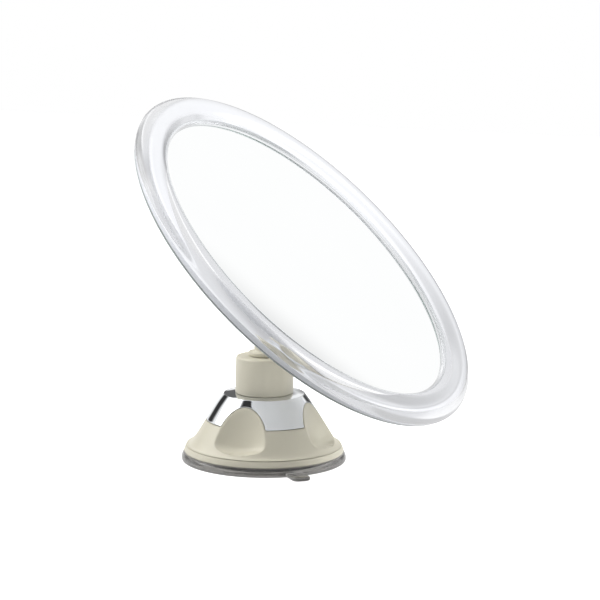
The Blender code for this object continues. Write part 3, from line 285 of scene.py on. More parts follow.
def suction_cup():
    inner_rim = CUP_RADIUS - CUP_RIM_WIDTH
    profile = rounded([
        (0, 0, 0),
        (CUP_GROOVE_RADIUS - CUP_GROOVE_HALF, 0, FINE_EDGE),
        (CUP_GROOVE_RADIUS, CUP_GROOVE_DEPTH, FINE_EDGE),
        (CUP_GROOVE_RADIUS + CUP_GROOVE_HALF, 0, FINE_EDGE),
        (CUP_RADIUS, 0, EDGE),
        (CUP_RADIUS, CUP_RIM_HEIGHT - 2 * CUP_RIM_SLOPE, CUP_RIM_SHOULDER),
        (CUP_RADIUS - CUP_RIM_SLOPE, CUP_RIM_HEIGHT, SMALL_EDGE),
        (inner_rim, CUP_RIM_HEIGHT, SMALL_EDGE),
        (inner_rim - CUP_RIM_STEP, CUP_WEB, EDGE),
        (CUP_BOSS_RADIUS, CUP_WEB, SOFT_EDGE),
        (CUP_BOSS_RADIUS, CUP_TOP, EDGE),
        (CUP_THROAT, CUP_TOP, FINE_EDGE),
        (CUP_THROAT, CUP_POCKET_ROOF, 0),
        (CUP_POCKET_RADIUS, CUP_POCKET_ROOF, 0),
        (CUP_POCKET_RADIUS, CUP_POCKET_FLOOR, 0),
        (0, CUP_POCKET_FLOOR, 0),
    ])
    end = CUP_RADIUS + TAB_REACH - TAB_CORNER
    side = TAB_HALF - TAB_CORNER
    outline = [(CUP_RADIUS - TAB_ROOT, -TAB_HALF), *arc(end, -side, TAB_CORNER, -90, 0)]
    outline += [*arc(end, side, TAB_CORNER, 0, 90), (CUP_RADIUS - TAB_ROOT, TAB_HALF)]
    tab = plate_shape("tab", outline, TAB_BOTTOM, TAB_TOP, SMALL_EDGE)
    tab.transform(Matrix.Rotation(TAB_DIRECTION, 4, "Z"))
    return carved(turned("cup", profile, BASE_STEPS), [tab], "UNION")


vinyl = finish(
    "soft_vinyl", (200, 197, 192), 0.2,
    shades=(0.012, (192, 189, 184), (209, 206, 201)),
    gloss=(0.0015, 0.1, 0.18),
    relief=(0.0009, 0.00002, 0.3),
    Transmission_Weight=0.95,
    IOR=1.5,
)
cup = fitted("cup_moulding", suction_cup(), vinyl, ["suction_cup"])
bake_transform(cup)


# Stem and cross pin: a turned acetal stem, moulded into the cup's centre, and a hardened steel pin through
# its top. They show only with the base taken apart, so their solids stay, with a finish of their own.
def refinished(look, *nodes):
    for name in nodes:
        mesh = frame["nodes"][name].data
        mesh.materials.clear()
        mesh.materials.append(look)


acetal = finish(
    "acetal", (226, 226, 220), 0.38,
    shades=(0.004, (220, 220, 213), (232, 232, 227)),
    gloss=(0.0008, 0.32, 0.46),
    relief=(0.0004, 0.00001, 0.3),
)
zinc = finish(
    "zinc_plated_steel", (170, 172, 175), 0.28,
    shades=(0.0012, (158, 161, 166), (184, 186, 188), 5.0),
    gloss=(0.0006, 0.2, 0.38),
    relief=(0.0002, 0.000004, 0.3),
    Metallic=1.0,
)
refinished(acetal, "lift_stem")
refinished(zinc, "cross_pin")


# Pressure plate: the cream moulding that presses on the cup's rim. Its ring shows as a band under the
# grip, and the tube at its centre guides the stem and holds the cross pin in two slots.
PLATE_BOTTOM, PLATE_TOP = (corner.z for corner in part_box("pressure_plate"))
PLATE_RADIUS = 0.0385
PLATE_SEAM_RADIUS = 0.0373
PLATE_SEAM = 0.0071
PLATE_BEND = 0.0015
PLATE_RING_INSIDE = 0.0328
PLATE_WEB = 0.0021
PLATE_STEP_RADIUS = 0.027
PLATE_LAND_RADIUS = 0.0163
PLATE_LAND = 0.0125
PLATE_WALL = 0.0025
PLATE_RECESS = 0.012
PLATE_RECESS_FOOT = 0.008
PLATE_RECESS_ROOF = 0.01
TUBE_BORE = 0.0065
TUBE_RADIUS = 0.0092
SLOT_HALF = 0.012
SLOT_HALF_WIDTH = 0.0018
SLOT_TOP = 0.0242
BROKEN_EDGE = 0.0003
FILLET = 0.001
GRIP_TURN = Matrix.Rotation(radians(4.4), 4, "Z")


def block(name, low, high):
    """A box between two corners."""
    outline = [(low[0], low[1]), (high[0], low[1]), (high[0], high[1]), (low[0], high[1])]
    return plate_shape(name, outline, low[2], high[2])


def pressure_plate():
    web = PLATE_SEAM - PLATE_WEB
    profile = rounded([
        (TUBE_BORE, PLATE_RECESS_ROOF, 0),
        (PLATE_RECESS, PLATE_RECESS_ROOF, SMALL_EDGE),
        (PLATE_RECESS, PLATE_RECESS_FOOT, SOFT_EDGE),
        (PLATE_STEP_RADIUS, web, FILLET),
        (PLATE_RING_INSIDE - PLATE_WEB, web, SOFT_EDGE),
        (PLATE_RING_INSIDE, PLATE_BOTTOM, FINE_EDGE),
        (PLATE_RADIUS, PLATE_BOTTOM, EDGE),
        (PLATE_SEAM_RADIUS, PLATE_SEAM, SMALL_EDGE),
        (PLATE_STEP_RADIUS, PLATE_SEAM, PLATE_BEND),
        (PLATE_LAND_RADIUS + PLATE_WALL, PLATE_LAND - PLATE_WALL / 2, FILLET),
        (PLATE_LAND_RADIUS, PLATE_LAND, SMALL_EDGE),
        (TUBE_RADIUS, PLATE_LAND, SOFT_EDGE),
        (TUBE_RADIUS, PLATE_TOP, SMALL_EDGE),
        (TUBE_BORE, PLATE_TOP, BROKEN_EDGE),
    ])
    low = (-SLOT_HALF, -SLOT_HALF_WIDTH, PLATE_RECESS_ROOF - PLATE_WALL)
    slot = block("slot", low, (SLOT_HALF, SLOT_HALF_WIDTH, SLOT_TOP))
    return carved(turned("plate", profile, BASE_STEPS), [moved(slot, GRIP_TURN)])


cream = finish(
    "cream_plastic", (214, 209, 191), 0.36,
    shades=(0.02, (210, 205, 187), (217, 213, 195), 3.0),
    gloss=(0.0015, 0.3, 0.42),
    relief=(0.00035, 0.000012, 0.35, 3.0),
)
fitted("plate_moulding", pressure_plate(), cream, ["pressure_plate"], "base")


# Thrust washer, cam ring and cam screws: the ring's two ramps lift the cross pin as the grip turns. They
# are screwed up inside the grip, out of sight, so their solids stay, with a finish of their own.
refinished(zinc, "thrust_washer", "cam_screw_1", "cam_screw_2", "cam_screw_3", "cam_screw_4")
refinished(acetal, "cam_ring")


# Twist grip: the cream cone that the hand turns, moulded with four scallops for the fingers. Its foot
# flares to the plate's edge, and a shallow seat round its top takes the chrome trim.
GRIP_BOTTOM = 0.0074
GRIP_SHOULDER = 0.032
GRIP_FOOT_RADIUS = 0.0371
GRIP_SHOULDER_RADIUS = 0.0195
GRIP_WALL = 0.003
GRIP_CEILING = 0.0292
HUB_BOTTOM = 0.0174
HUB_BORE = 0.0133
HUB_RADIUS = 0.0153
HUB_CLEARANCE = 0.001
HUB_CEILING = 0.0304
CROWN_HEIGHT = 0.0325
CROWN_RADIUS = 0.0189
SPIGOT_RADIUS = 0.011
SPIGOT_TOP = 0.0336
FLARE_RISES = (0.0, 0.02, 0.065, 0.142, 0.268, 0.508, 0.667, 0.858, 1.0)
FLARE_SPREADS = (1.0, 0.92, 0.85, 0.776, 0.672, 0.463, 0.328, 0.158, 0.0)
SLOPE_STEP = 0.0002
STATION_COUNT = 300
CORNER_CUTS = 3
CONE_PASSES = 8
HALVINGS = 28
DISH_COUNT = 4
DISH_START = 0.0014
DISH_RISE = 0.0199
DISH_HALF = 0.01253
DISH_AXIS_OFFSET = 0.024
DISH_WIDEST_SHARE = 0.27
DISH_ARCH_POWER = 1.55
DISH_EDGE = 0.0008
DISH_WALL = 0.002
DISH_SINK = 0.014
DISH_BEYOND = 0.004
DISH_PITCH = 2 * pi / DISH_COUNT
TRIM_BOTTOM = 0.0198
TRIM_BORDER = 0.0012
TRIM_APEX_BORDER = 0.0006
TRIM_CORNER = 0.0012
TRIM_THICKNESS = 0.0009
TRIM_GAP = 0.0004
OUTLINE_STEP = 0.0003
OUTLINE_SLANT = 1.25
OUTLINE_POINTS = 200
SEAT_ROWS = 12
GRIP_ROWS = 70
GRIP_CROWDING = 1.05
INSIDE_ROWS = 16


def flare():
    """The cone's profile as heights and radii, with the corners of its outline cut smooth."""
    size = (GRIP_SHOULDER - GRIP_BOTTOM, GRIP_FOOT_RADIUS - GRIP_SHOULDER_RADIUS)
    points = np.array([FLARE_RISES, FLARE_SPREADS]).T * size + (GRIP_BOTTOM, GRIP_SHOULDER_RADIUS)
    for _ in range(CORNER_CUTS):
        near = 0.75 * points[:-1] + 0.25 * points[1:]
        far = 0.25 * points[:-1] + 0.75 * points[1:]
        cut = np.stack([near, far], axis=1).reshape(-1, 2)
        points = np.concatenate([points[:1], cut[1:-1], points[-1:]])
    return points.T


FLARE_HEIGHTS, FLARE_RADII = flare()


def cone_radius(height):
    return np.interp(height, FLARE_HEIGHTS, FLARE_RADII)


def cone_point(height):
    return np.array([cone_radius(height), height])


# Each scallop is a turned form sunk into the cone, with its axis beside a chord of the cone's profile.
DISH_FOOT = cone_point(GRIP_BOTTOM + DISH_START)
DISH_CHORD = cone_point(GRIP_BOTTOM + DISH_START + DISH_RISE) - DISH_FOOT
DISH_LENGTH = np.linalg.norm(DISH_CHORD)
DISH_ALONG = DISH_CHORD / DISH_LENGTH
DISH_OUT = np.array([DISH_ALONG[1], -DISH_ALONG[0]])
DISH_CENTRE = DISH_FOOT + DISH_AXIS_OFFSET * DISH_OUT
DISH_STATIONS = np.linspace(0, DISH_LENGTH, STATION_COUNT)


def dish_half(station, border=0.0, apex=0.0):
    """Half the width of a scallop's outline: an ellipse below its widest place and an arch above it."""
    widest = DISH_WIDEST_SHARE * DISH_LENGTH
    low = np.sqrt(np.clip(1 - ((widest - station) / widest) ** 2, 0, 1))
    share = np.clip((station - widest) / (DISH_LENGTH + apex - widest), 0, 1)
    high = np.sqrt(1 - share**DISH_ARCH_POWER)
    return (DISH_HALF + border) * np.where(station < widest, low, high)


def cone_at_station(station, across):
    """How far the cone lies under the scallop's chord at a station and a distance across, and its height."""
    height = DISH_FOOT[1] + station * DISH_ALONG[1]
    for _ in range(CONE_PASSES):
        depth = np.sqrt(np.clip(cone_radius(height) ** 2 - across**2, 0, None))
        reached = (depth - DISH_FOOT[0]) * DISH_ALONG[0] + (height - DISH_FOOT[1]) * DISH_ALONG[1]
        height = height + (station - reached) * DISH_ALONG[1]
    sunk = -((depth - DISH_FOOT[0]) * DISH_OUT[0] + (height - DISH_FOOT[1]) * DISH_OUT[1])
    return sunk, height


DISH_HALVES = dish_half(DISH_STATIONS)
DISH_DEPTHS = np.hypot(DISH_HALVES, DISH_AXIS_OFFSET + cone_at_station(DISH_STATIONS, DISH_HALVES)[0])


def dish_radius(angle, height, wall):
    """The distance from the base's axis to the nearest scallop's surface, at an angle and a height."""
    angle = (angle + DISH_PITCH / 2) % DISH_PITCH - DISH_PITCH / 2
    steps = np.diff(DISH_DEPTHS) / np.diff(DISH_STATIONS)

    def inside(radius):
        x = radius * np.cos(angle) - DISH_CENTRE[0]
        z = height - DISH_CENTRE[1]
        station = x * DISH_ALONG[0] + z * DISH_ALONG[1]
        beyond = np.maximum(station - DISH_LENGTH, 0) * steps[-1] + np.minimum(station, 0) * steps[2]
        reach = np.interp(station, DISH_STATIONS, DISH_DEPTHS) + beyond + wall
        return np.hypot(x * DISH_OUT[0] + z * DISH_OUT[1], radius * np.sin(angle)) < reach

    low = cone_radius(height) - DISH_SINK
    high = cone_radius(height) + DISH_BEYOND
    found = inside(high)
    for _ in range(HALVINGS):
        middle = (low + high) / 2
        within = inside(middle)
        high = np.where(within, middle, high)
        low = np.where(within, low, middle)
    return np.where(found, high, cone_radius(height) + DISH_BEYOND)


def grip_radius(angle, height, inset=0.0):
    """The grip's outer radius: the cone, or a scallop where that is nearer, with a soft edge between."""
    cone = cone_radius(height) - (GRIP_WALL if inset else 0)
    dish = dish_radius(angle, height, inset)
    nearness = np.maximum(DISH_EDGE - np.abs(cone - dish), 0) / DISH_EDGE
    return np.minimum(cone, dish) - nearness**2 * DISH_EDGE / 4


def trim_outline():
    """The lower edge of the trim from the middle of a scallop to the middle of a leg, as (angle, height)."""
    top = DISH_LENGTH + TRIM_APEX_BORDER
    low = DISH_WIDEST_SHARE * DISH_LENGTH
    stations = top - (top - np.linspace(top, low, OUTLINE_POINTS)) ** 1.5 / (top - low) ** 0.5
    halves = dish_half(stations, TRIM_BORDER, TRIM_APEX_BORDER)
    heights = cone_at_station(stations, halves)[1]
    side = [(y, z) for y, z in zip(halves, heights) if z > TRIM_BOTTOM + TRIM_CORNER]
    side += arc(side[-1][0] + TRIM_CORNER, TRIM_BOTTOM + TRIM_CORNER, TRIM_CORNER, 180, 270, 10)
    outline = [(asin(min(y / cone_radius(z), 1)), z) for y, z in side]
    return outline + [(DISH_PITCH / 2, TRIM_BOTTOM)]


def trim_edge():
    """The same edge as evenly spaced points on the cone, for the whole way round."""
    dense = np.array(trim_outline())
    dense = dense[np.concatenate([[True], np.hypot(*np.diff(dense, axis=0).T) > 1e-9])]
    radii = cone_radius(dense[:, 1])
    steps = np.hypot(np.diff(dense[:, 0]) * radii[1:], np.diff(dense[:, 1]) * OUTLINE_SLANT)
    way = np.concatenate([[0], np.cumsum(steps)])
    even = np.linspace(0, way[-1], int(way[-1] / OUTLINE_STEP) + 1)
    half = np.stack([np.interp(even, way, column) for column in dense.T], axis=1)
    back = half[-2:0:-1].copy()
    back[:, 0] = DISH_PITCH - back[:, 0]
    quarter = np.concatenate([half, back])
    return np.concatenate([quarter + [2 * pi * k / DISH_COUNT, 0] for k in range(DISH_COUNT)])


def under_cone(angles, heights, depth=0.0):
    """Points at a depth under the cone's surface, and the surface's own normals there."""
    slope = (cone_radius(heights + SLOPE_STEP) - cone_radius(heights - SLOPE_STEP)) / (2 * SLOPE_STEP)
    size = np.hypot(1, slope)
    normals = np.stack([np.cos(angles) / size, np.sin(angles) / size, -slope / size], axis=-1)
    return ring_of(angles, cone_radius(heights), heights) - depth * normals, normals


def shifted(edge, distance):
    """The trim's edge moved along the cone, to the trim's side where the distance is positive."""
    points, normals = under_cone(*edge.T)
    ways = np.roll(points, -1, axis=0) - np.roll(points, 1, axis=0)
    ways /= np.linalg.norm(ways, axis=1)[:, None]
    points += distance * np.cross(normals, ways)
    return np.unwrap(np.arctan2(points[:, 1], points[:, 0])), points[:, 2]


def twist_grip():
    angles, heights = shifted(trim_edge(), -TRIM_GAP)
    seat = TRIM_THICKNESS + TRIM_GAP
    rows = rings(angles, [
        (0, SPIGOT_TOP),
        (SPIGOT_RADIUS - BROKEN_EDGE, SPIGOT_TOP),
        (SPIGOT_RADIUS, SPIGOT_TOP - BROKEN_EDGE),
        (SPIGOT_RADIUS, CROWN_HEIGHT - seat),
        (CROWN_RADIUS - seat / 2, CROWN_HEIGHT - seat),
    ])
    for share in np.linspace(0, 1, SEAT_ROWS):
        rows.append(under_cone(angles, GRIP_SHOULDER + (heights - GRIP_SHOULDER) * share, seat)[0])
    rows.append(under_cone(angles, heights, BROKEN_EDGE)[0])
    for share in np.linspace(0, 1, GRIP_ROWS) ** GRIP_CROWDING:
        height = heights + (GRIP_BOTTOM - heights) * share
        rows.append(ring_of(angles, grip_radius(angles, height), height))
    for share in np.linspace(0, 1, INSIDE_ROWS):
        height = np.full_like(angles, GRIP_BOTTOM + (GRIP_CEILING - GRIP_BOTTOM) * share)
        radius = np.maximum(grip_radius(angles, height, DISH_WALL), HUB_RADIUS + HUB_CLEARANCE)
        rows.append(ring_of(angles, radius, height))
    rows += rings(angles, [
        (HUB_RADIUS, GRIP_CEILING),
        (HUB_RADIUS, HUB_BOTTOM),
        (HUB_BORE, HUB_BOTTOM),
        (HUB_BORE, HUB_CEILING),
        (0, HUB_CEILING),
    ])
    return moved(lofted("grip", rows), GRIP_TURN)


fitted("grip_moulding", twist_grip(), cream, ["twist_grip"], "grip")


# Chrome trim: a thin plated cap with four legs, which lies in the grip's seat and is held by the knob.
# Its plating is bright, a little wavy, and softens its edges.
TRIM_EDGE = 0.00015
TRIM_HOLE = 0.0113
TRIM_ROWS = 22
TRIM_BACK_ROWS = 6
HOUSING_SEAT = 0.0128
CROWN_FALL = 0.0004
CROWN_BEND = 0.0001


def chrome_trim():
    edge = trim_edge()
    angles, heights = edge.T
    corner = TRIM_EDGE * (1 - sqrt(0.5))
    face_angles, face_heights = shifted(edge, TRIM_EDGE)
    rows = rings(face_angles, [
        (TRIM_HOLE, CROWN_HEIGHT - FINE_EDGE),
        (TRIM_HOLE + FINE_EDGE, CROWN_HEIGHT),
        (HOUSING_SEAT, CROWN_HEIGHT),
        (CROWN_RADIUS - FINE_EDGE, CROWN_HEIGHT - CROWN_FALL),
        (CROWN_RADIUS + CROWN_BEND, CROWN_HEIGHT - CROWN_FALL - CROWN_BEND),
        (GRIP_SHOULDER_RADIUS - CROWN_BEND, GRIP_SHOULDER + CROWN_BEND / 2),
    ])
    start = GRIP_SHOULDER - CROWN_BEND
    for share in np.linspace(0, 1, TRIM_ROWS):
        rows.append(under_cone(face_angles, start + (face_heights - start) * share)[0])
    rows.append(under_cone(*shifted(edge, corner), corner)[0])
    rows.append(under_cone(angles, heights, TRIM_EDGE)[0])
    for share in np.linspace(0, 1, TRIM_BACK_ROWS):
        rows.append(under_cone(angles, heights + (start - heights) * share, TRIM_THICKNESS)[0])
    inside = CROWN_HEIGHT - TRIM_THICKNESS
    rows += rings(angles, [(CROWN_RADIUS - TRIM_THICKNESS / 2, inside), (TRIM_HOLE, inside)])
    return moved(lofted("trim", rows), GRIP_TURN)


chrome = finish(
    "chrome_plating", (235, 237, 239), 0.05,
    shades=(0.01, (232, 234, 237), (238, 240, 241)),
    gloss=(0.003, 0.03, 0.09, 4.0, (1, 1, 6)),
    relief=(0.006, 0.00002, 0.25),
    Metallic=1.0,
)
fitted("trim_cap", chrome_trim(), chrome, ["chrome_trim"], "grip")


# Swivel housing: the cream knob that the neck turns in. It is screwed down from inside the grip, and
# holds the trim's crown.
HOUSING_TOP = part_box("swivel_housing")[1].z
HOUSING_SKIRT = CROWN_HEIGHT + 0.00002
HOUSING_FALL = 0.00008
HOUSING_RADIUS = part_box("swivel_housing")[1].x
HOUSING_TOP_RADIUS = 0.0136
HOUSING_TAPER = 0.0436
HOUSING_BEND = 0.02
HOUSING_EDGE = 0.0011
HOUSING_BORE = 0.0113
HOUSING_ROOF = 0.0472
NECK_HOLE = 0.0039
KNOB_STEPS = 128


def swivel_housing():
    profile = rounded([
        (HOUSING_BORE, HOUSING_SKIRT, FINE_EDGE),
        (HOUSING_SEAT, HOUSING_SKIRT, FINE_EDGE),
        (HOUSING_RADIUS, HOUSING_SKIRT - HOUSING_FALL, SOFT_EDGE),
        (HOUSING_RADIUS, HOUSING_TAPER, HOUSING_BEND),
        (HOUSING_TOP_RADIUS, HOUSING_TOP, HOUSING_EDGE),
        (NECK_HOLE, HOUSING_TOP, FINE_EDGE),
        (NECK_HOLE, HOUSING_ROOF, 0),
        (HOUSING_BORE, HOUSING_ROOF, SOFT_EDGE),
    ])
    return turned("housing", profile, KNOB_STEPS)


fitted("knob_moulding", swivel_housing(), cream, ["swivel_housing"], "grip")
refinished(zinc, "housing_screw_1", "housing_screw_2", "housing_screw_3")
refinished(zinc, "swivel_retaining_washer", "swivel_screw")
refinished(acetal, "swivel_friction_washer")


# Neck: a cream post with a small disc at its foot. Its ball end has two flats, which sit between the
# yoke's ears, and a bore for the hinge's screw.
NECK_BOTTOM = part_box("neck")[0].z
PIVOT_HEIGHT = next(joint for joint in frame["joints"] if joint["name"] == "mirror_tilt")["pos_m"][2]
NECK_RADIUS = 0.005
NECK_SHANK = 0.0036
NECK_BORE = 0.0018
NECK_BORE_TOP = 0.057
FLANGE_RADIUS = 0.0078
FLANGE_BOTTOM = 0.0505
FLANGE_TOP = 0.0524
BALL_RADIUS = 0.0063
EYE_HALF = 0.0036
FLAT_BOTTOM = 0.0683
EYE_BORE = 0.0023
BALL_STEPS = 20
ROUND_STEPS = 96
PIN_STEPS = 48


def crosswise(name, radius, half):
    """A round bar along X through the pivot."""
    bar = turned(name, [(0, -half), (radius, -half), (radius, half), (0, half)], PIN_STEPS)
    return moved(bar, Matrix.Rotation(pi / 2, 4, "Y"))


def neck():
    start = degrees(asin(NECK_RADIUS / BALL_RADIUS)) - 90
    ball = arc(0, PIVOT_HEIGHT, BALL_RADIUS, start, 90, BALL_STEPS)
    shank = rounded([
        (NECK_BORE, NECK_BORE_TOP, 0),
        (NECK_BORE, NECK_BOTTOM, FINE_EDGE),
        (NECK_SHANK, NECK_BOTTOM, BROKEN_EDGE),
        (NECK_SHANK, FLANGE_BOTTOM, 0),
        (FLANGE_RADIUS, FLANGE_BOTTOM, BROKEN_EDGE),
        (FLANGE_RADIUS, FLANGE_TOP, SOFT_EDGE),
        (NECK_RADIUS, FLANGE_TOP, FILLET),
        (NECK_RADIUS, ball[0][1], 0),
    ], closed=False)
    profile = [(0, NECK_BORE_TOP), *shank[:-1], *ball[:-1], (0, PIVOT_HEIGHT + BALL_RADIUS)]
    reach = 2 * BALL_RADIUS
    top = PIVOT_HEIGHT + reach
    tools = [
        block("flat_right", (EYE_HALF, -reach, FLAT_BOTTOM), (reach, reach, top)),
        block("flat_left", (-reach, -reach, FLAT_BOTTOM), (-EYE_HALF, reach, top)),
        moved(crosswise("eye_bore", EYE_BORE, reach), Matrix.Translation((0, 0, PIVOT_HEIGHT))),
    ]
    return carved(turned("neck_post", profile, ROUND_STEPS), tools)


fitted("neck_moulding", neck(), cream, ["neck"], "neck")


# Clear ring: an oval bar of cast acrylic bent round the mirror and polished. A step turned into its back
# takes the glass and the cover, and its front lip holds them.
RING_RADIUS = 0.1
RING_HALF = 0.0083
RING_HALF_THICKNESS = 0.0058
RING_MIDDLE = 0.0314
RING_STEPS = 240
SECTION_STEPS = 72
REBATE_RADIUS = 0.0868
REBATE_FACE = 0.0322
TRAPPED_BOUNCES = 3.5
HEAD = Matrix.Translation((0, 0, PIVOT_HEIGHT)) @ Matrix.Rotation(radians(44.7), 4, "X")


def calculated(tree, operation, *values):
    return node_with(tree, "ShaderNodeMath", *values, operation=operation).outputs[0]


def clear_finish():
    """Polished clear acrylic, with the slight waves that bending leaves in it. It lets lamps through, and
    light that has gone to and fro inside the bar leaves it, as it does at the real bar's faint marks."""
    look = finish(
        "clear_acrylic",
        (244, 245, 249),
        0.07,
        shades=(0.05, (241, 243, 248), (246, 247, 250)),
        gloss=(0.004, 0.045, 0.095, 4.0),
        relief=(0.012, 0.00003, 0.2),
        Transmission_Weight=1.0,
        IOR=1.49,
    )
    tree = look.node_tree
    path = tree.nodes.new("ShaderNodeLightPath").outputs
    trapped = calculated(tree, "GREATER_THAN", path["Ray Depth"], TRAPPED_BOUNCES)
    through = calculated(tree, "MAXIMUM", path["Is Shadow Ray"], trapped)
    acrylic = tree.nodes["Principled BSDF"].outputs[0]
    opening = tree.nodes.new("ShaderNodeBsdfTransparent").outputs[0]
    choice = node_with(tree, "ShaderNodeMixShader", through, acrylic, opening)
    adjusted(tree, tree.nodes["Material Output"], Surface=choice.outputs[0])
    return look


def ring_section():
    """The oval, less the step: its points run round the clear part of the section."""
    centre = RING_RADIUS - RING_HALF
    upper, lower = [], []
    for i in range(SECTION_STEPS):
        angle = 2 * pi * i / SECTION_STEPS
        point = (centre + RING_HALF * cos(angle), RING_MIDDLE + RING_HALF_THICKNESS * sin(angle))
        if not (point[0] < REBATE_RADIUS and point[1] < REBATE_FACE):
            (upper if angle < pi else lower).append(point)
    sink = asin((REBATE_FACE - RING_MIDDLE) / RING_HALF_THICKNESS)
    side = acos((REBATE_RADIUS - centre) / RING_HALF)
    corners = [
        (*upper[-1], 0),
        (centre - RING_HALF * cos(sink), REBATE_FACE, FINE_EDGE),
        (REBATE_RADIUS, REBATE_FACE, BROKEN_EDGE),
        (REBATE_RADIUS, RING_MIDDLE - RING_HALF_THICKNESS * sin(side), FINE_EDGE),
        (*lower[0], 0),
    ]
    return upper[:-1] + rounded(corners, closed=False) + lower[1:]


def geometry_tree(name, **inputs):
    """A new tree with named inputs, each with its kind, and one for its finish, and both its end nodes."""
    tree = bpy.data.node_groups.new(name, "GeometryNodeTree")
    tree.interface.new_socket("Geometry", in_out="OUTPUT", socket_type="NodeSocketGeometry")
    for label, kind in {**inputs, "Finish": "Material"}.items():
        tree.interface.new_socket(label.replace("_", " "), in_out="INPUT", socket_type=f"NodeSocket{kind}")
    return tree, tree.nodes.new("NodeGroupInput").outputs, tree.nodes.new("NodeGroupOutput")


def close_tree(tree, geometry, given, end):
    real = node_with(tree, "GeometryNodeRealizeInstances", Geometry=geometry)
    dressed = node_with(tree, "GeometryNodeSetMaterial", Geometry=real.outputs[0], Material=given["Finish"])
    adjusted(tree, end, dressed.outputs[0])
    return tree


def grown(tree, values):
    """The plain mesh that a tree makes from the values for its named inputs."""
    holder = placed(tree.name, bpy.data.meshes.new(tree.name))
    step = holder.modifiers.new(tree.name, "NODES")
    step.node_group = tree
    for item in tree.interface.items_tree:
        if item.in_out == "INPUT":
            step[item.identifier] = values[item.name]
    shape = bmesh.new()
    shape.from_mesh(evaluated(holder))
    holder.modifiers.remove(step)
    bpy.data.objects.remove(holder)
    return as_mesh(tree.name, shape)


def bent_bar():
    """A tree that sweeps a section round a circle."""
    tree, given, end = geometry_tree("bent_bar", Section="Object", Bend_Radius="Float", Steps="Int")
    bend = node_with(tree, "GeometryNodeCurvePrimitiveCircle", Resolution=given["Steps"])
    adjusted(tree, bend, Radius=given["Bend Radius"])
    level = node_with(tree, "GeometryNodeSetCurveNormal", Curve=bend.outputs[0], mode="Z_UP").outputs[0]
    section = node_with(tree, "GeometryNodeObjectInfo", Object=given["Section"]).outputs["Geometry"]
    bar = node_with(tree, "GeometryNodeCurveToMesh", Curve=level, Profile_Curve=section)
    return close_tree(tree, bar.outputs[0], given, end)


def clear_ring(look):
    bend_radius = RING_RADIUS - RING_HALF
    curve = bpy.data.curves.new("ring_section", "CURVE")
    spline = curve.splines.new("POLY")
    section = ring_section()
    spline.points.add(len(section) - 1)
    for point, (radius, height) in zip(spline.points, section):
        point.co = (radius - bend_radius, -height, 0, 1)
    spline.use_cyclic_u = True
    holder = bpy.data.objects.new("ring_section", curve)
    values = {"Section": holder, "Bend Radius": bend_radius, "Steps": RING_STEPS, "Finish": look}
    mesh = grown(bent_bar(), values)
    bpy.data.objects.remove(holder)
    return moved(mesh, HEAD)


clear = clear_finish()
fitted("clear_ring", clear_ring(clear), clear, ["acrylic_ring"], "mirror_head")


# Mirror glass: a bent glass, silvered and painted on its back, ground at its edge. It magnifies, so its
# front is hollow.
GLASS_RADIUS = 0.0865
GLASS_CURVE = 0.9
GLASS_FRONT = 0.0319
GLASS_THICKNESS = 0.003
GLASS_RINGS = 24
GLASS_CROWDING = 1.2


def glass_sag(radius):
    """How far the glass lies behind its edge at a radius."""
    return sqrt(GLASS_CURVE**2 - radius**2) - sqrt(GLASS_CURVE**2 - GLASS_RADIUS**2)


def mirror_glass():
    radii = [GLASS_RADIUS * (1 - (i / GLASS_RINGS) ** GLASS_CROWDING) for i in range(1, GLASS_RINGS)]
    front = [(r, GLASS_FRONT - glass_sag(r)) for r in [*radii, 0]]
    back = [(r, height - GLASS_THICKNESS) for r, height in front[::-1]]
    edge = [
        (GLASS_RADIUS - BROKEN_EDGE, GLASS_FRONT - GLASS_THICKNESS),
        (GLASS_RADIUS, GLASS_FRONT - GLASS_THICKNESS + BROKEN_EDGE),
        (GLASS_RADIUS, GLASS_FRONT - BROKEN_EDGE),
        (GLASS_RADIUS - BROKEN_EDGE, GLASS_FRONT),
    ]
    return turned("glass", back + edge + front, RING_STEPS)


silver = finish(
    "silvered_glass", (253, 254, 254), 0.0,
    shades=(0.04, (252, 253, 253), (254, 255, 255)),
    gloss=(0.015, 0.0, 0.012, 5.0),
    Metallic=1.0,
)
ground_edge = finish(
    "ground_glass_edge", (120, 138, 132), 0.4,
    shades=(0.0015, (104, 122, 116), (142, 158, 152)),
    relief=(0.0004, 0.00002, 0.5),
)
backing = finish(
    "backing_paint", (120, 122, 124), 0.5,
    shades=(0.01, (112, 114, 116), (128, 130, 132)),
    relief=(0.0006, 0.00002, 0.4),
)
glass = fitted("mirror_plate", mirror_glass(), silver, ["mirror_glass"], "mirror_head").data
glass.materials.append(ground_edge)
glass.materials.append(backing)
for face in glass.polygons:
    if hypot(face.center.x, face.center.y) > GLASS_RADIUS - 1.5 * BROKEN_EDGE:
        face.material_index = 1
    elif face.normal.z < 0:
        face.material_index = 2
glass.transform(HEAD)


# Foam pad: a thin round of dark closed-cell foam, cut from sheet. It sits behind the glass and presses it
# against the ring's lip.
PAD_RADIUS = 0.058
PAD_THICKNESS = 0.0022
PAD_FRONT = 0.0286
PAD_RINGS = 10


def foam_pad():
    radii = [*(PAD_RADIUS * i / PAD_RINGS for i in range(PAD_RINGS)), PAD_RADIUS - SMALL_EDGE]
    front = [(r, PAD_FRONT - glass_sag(r)) for r in radii]
    back = [(r, height - PAD_THICKNESS) for r, height in front[::-1]]
    side = [(PAD_RADIUS, front[-1][1] - EDGE), (PAD_RADIUS, back[0][1] + EDGE)]
    return moved(turned("pad", front + side + back, ROUND_STEPS), HEAD)


foam = finish(
    "closed_cell_foam", (92, 92, 94), 0.9,
    shades=(0.0008, (76, 76, 78), (106, 106, 108), 3.0),
    relief=(0.0008, 0.0001, 0.6, 3.0),
)
pad = fitted("foam_disc", foam_pad(), foam, ["foam_pad"], "mirror_head")


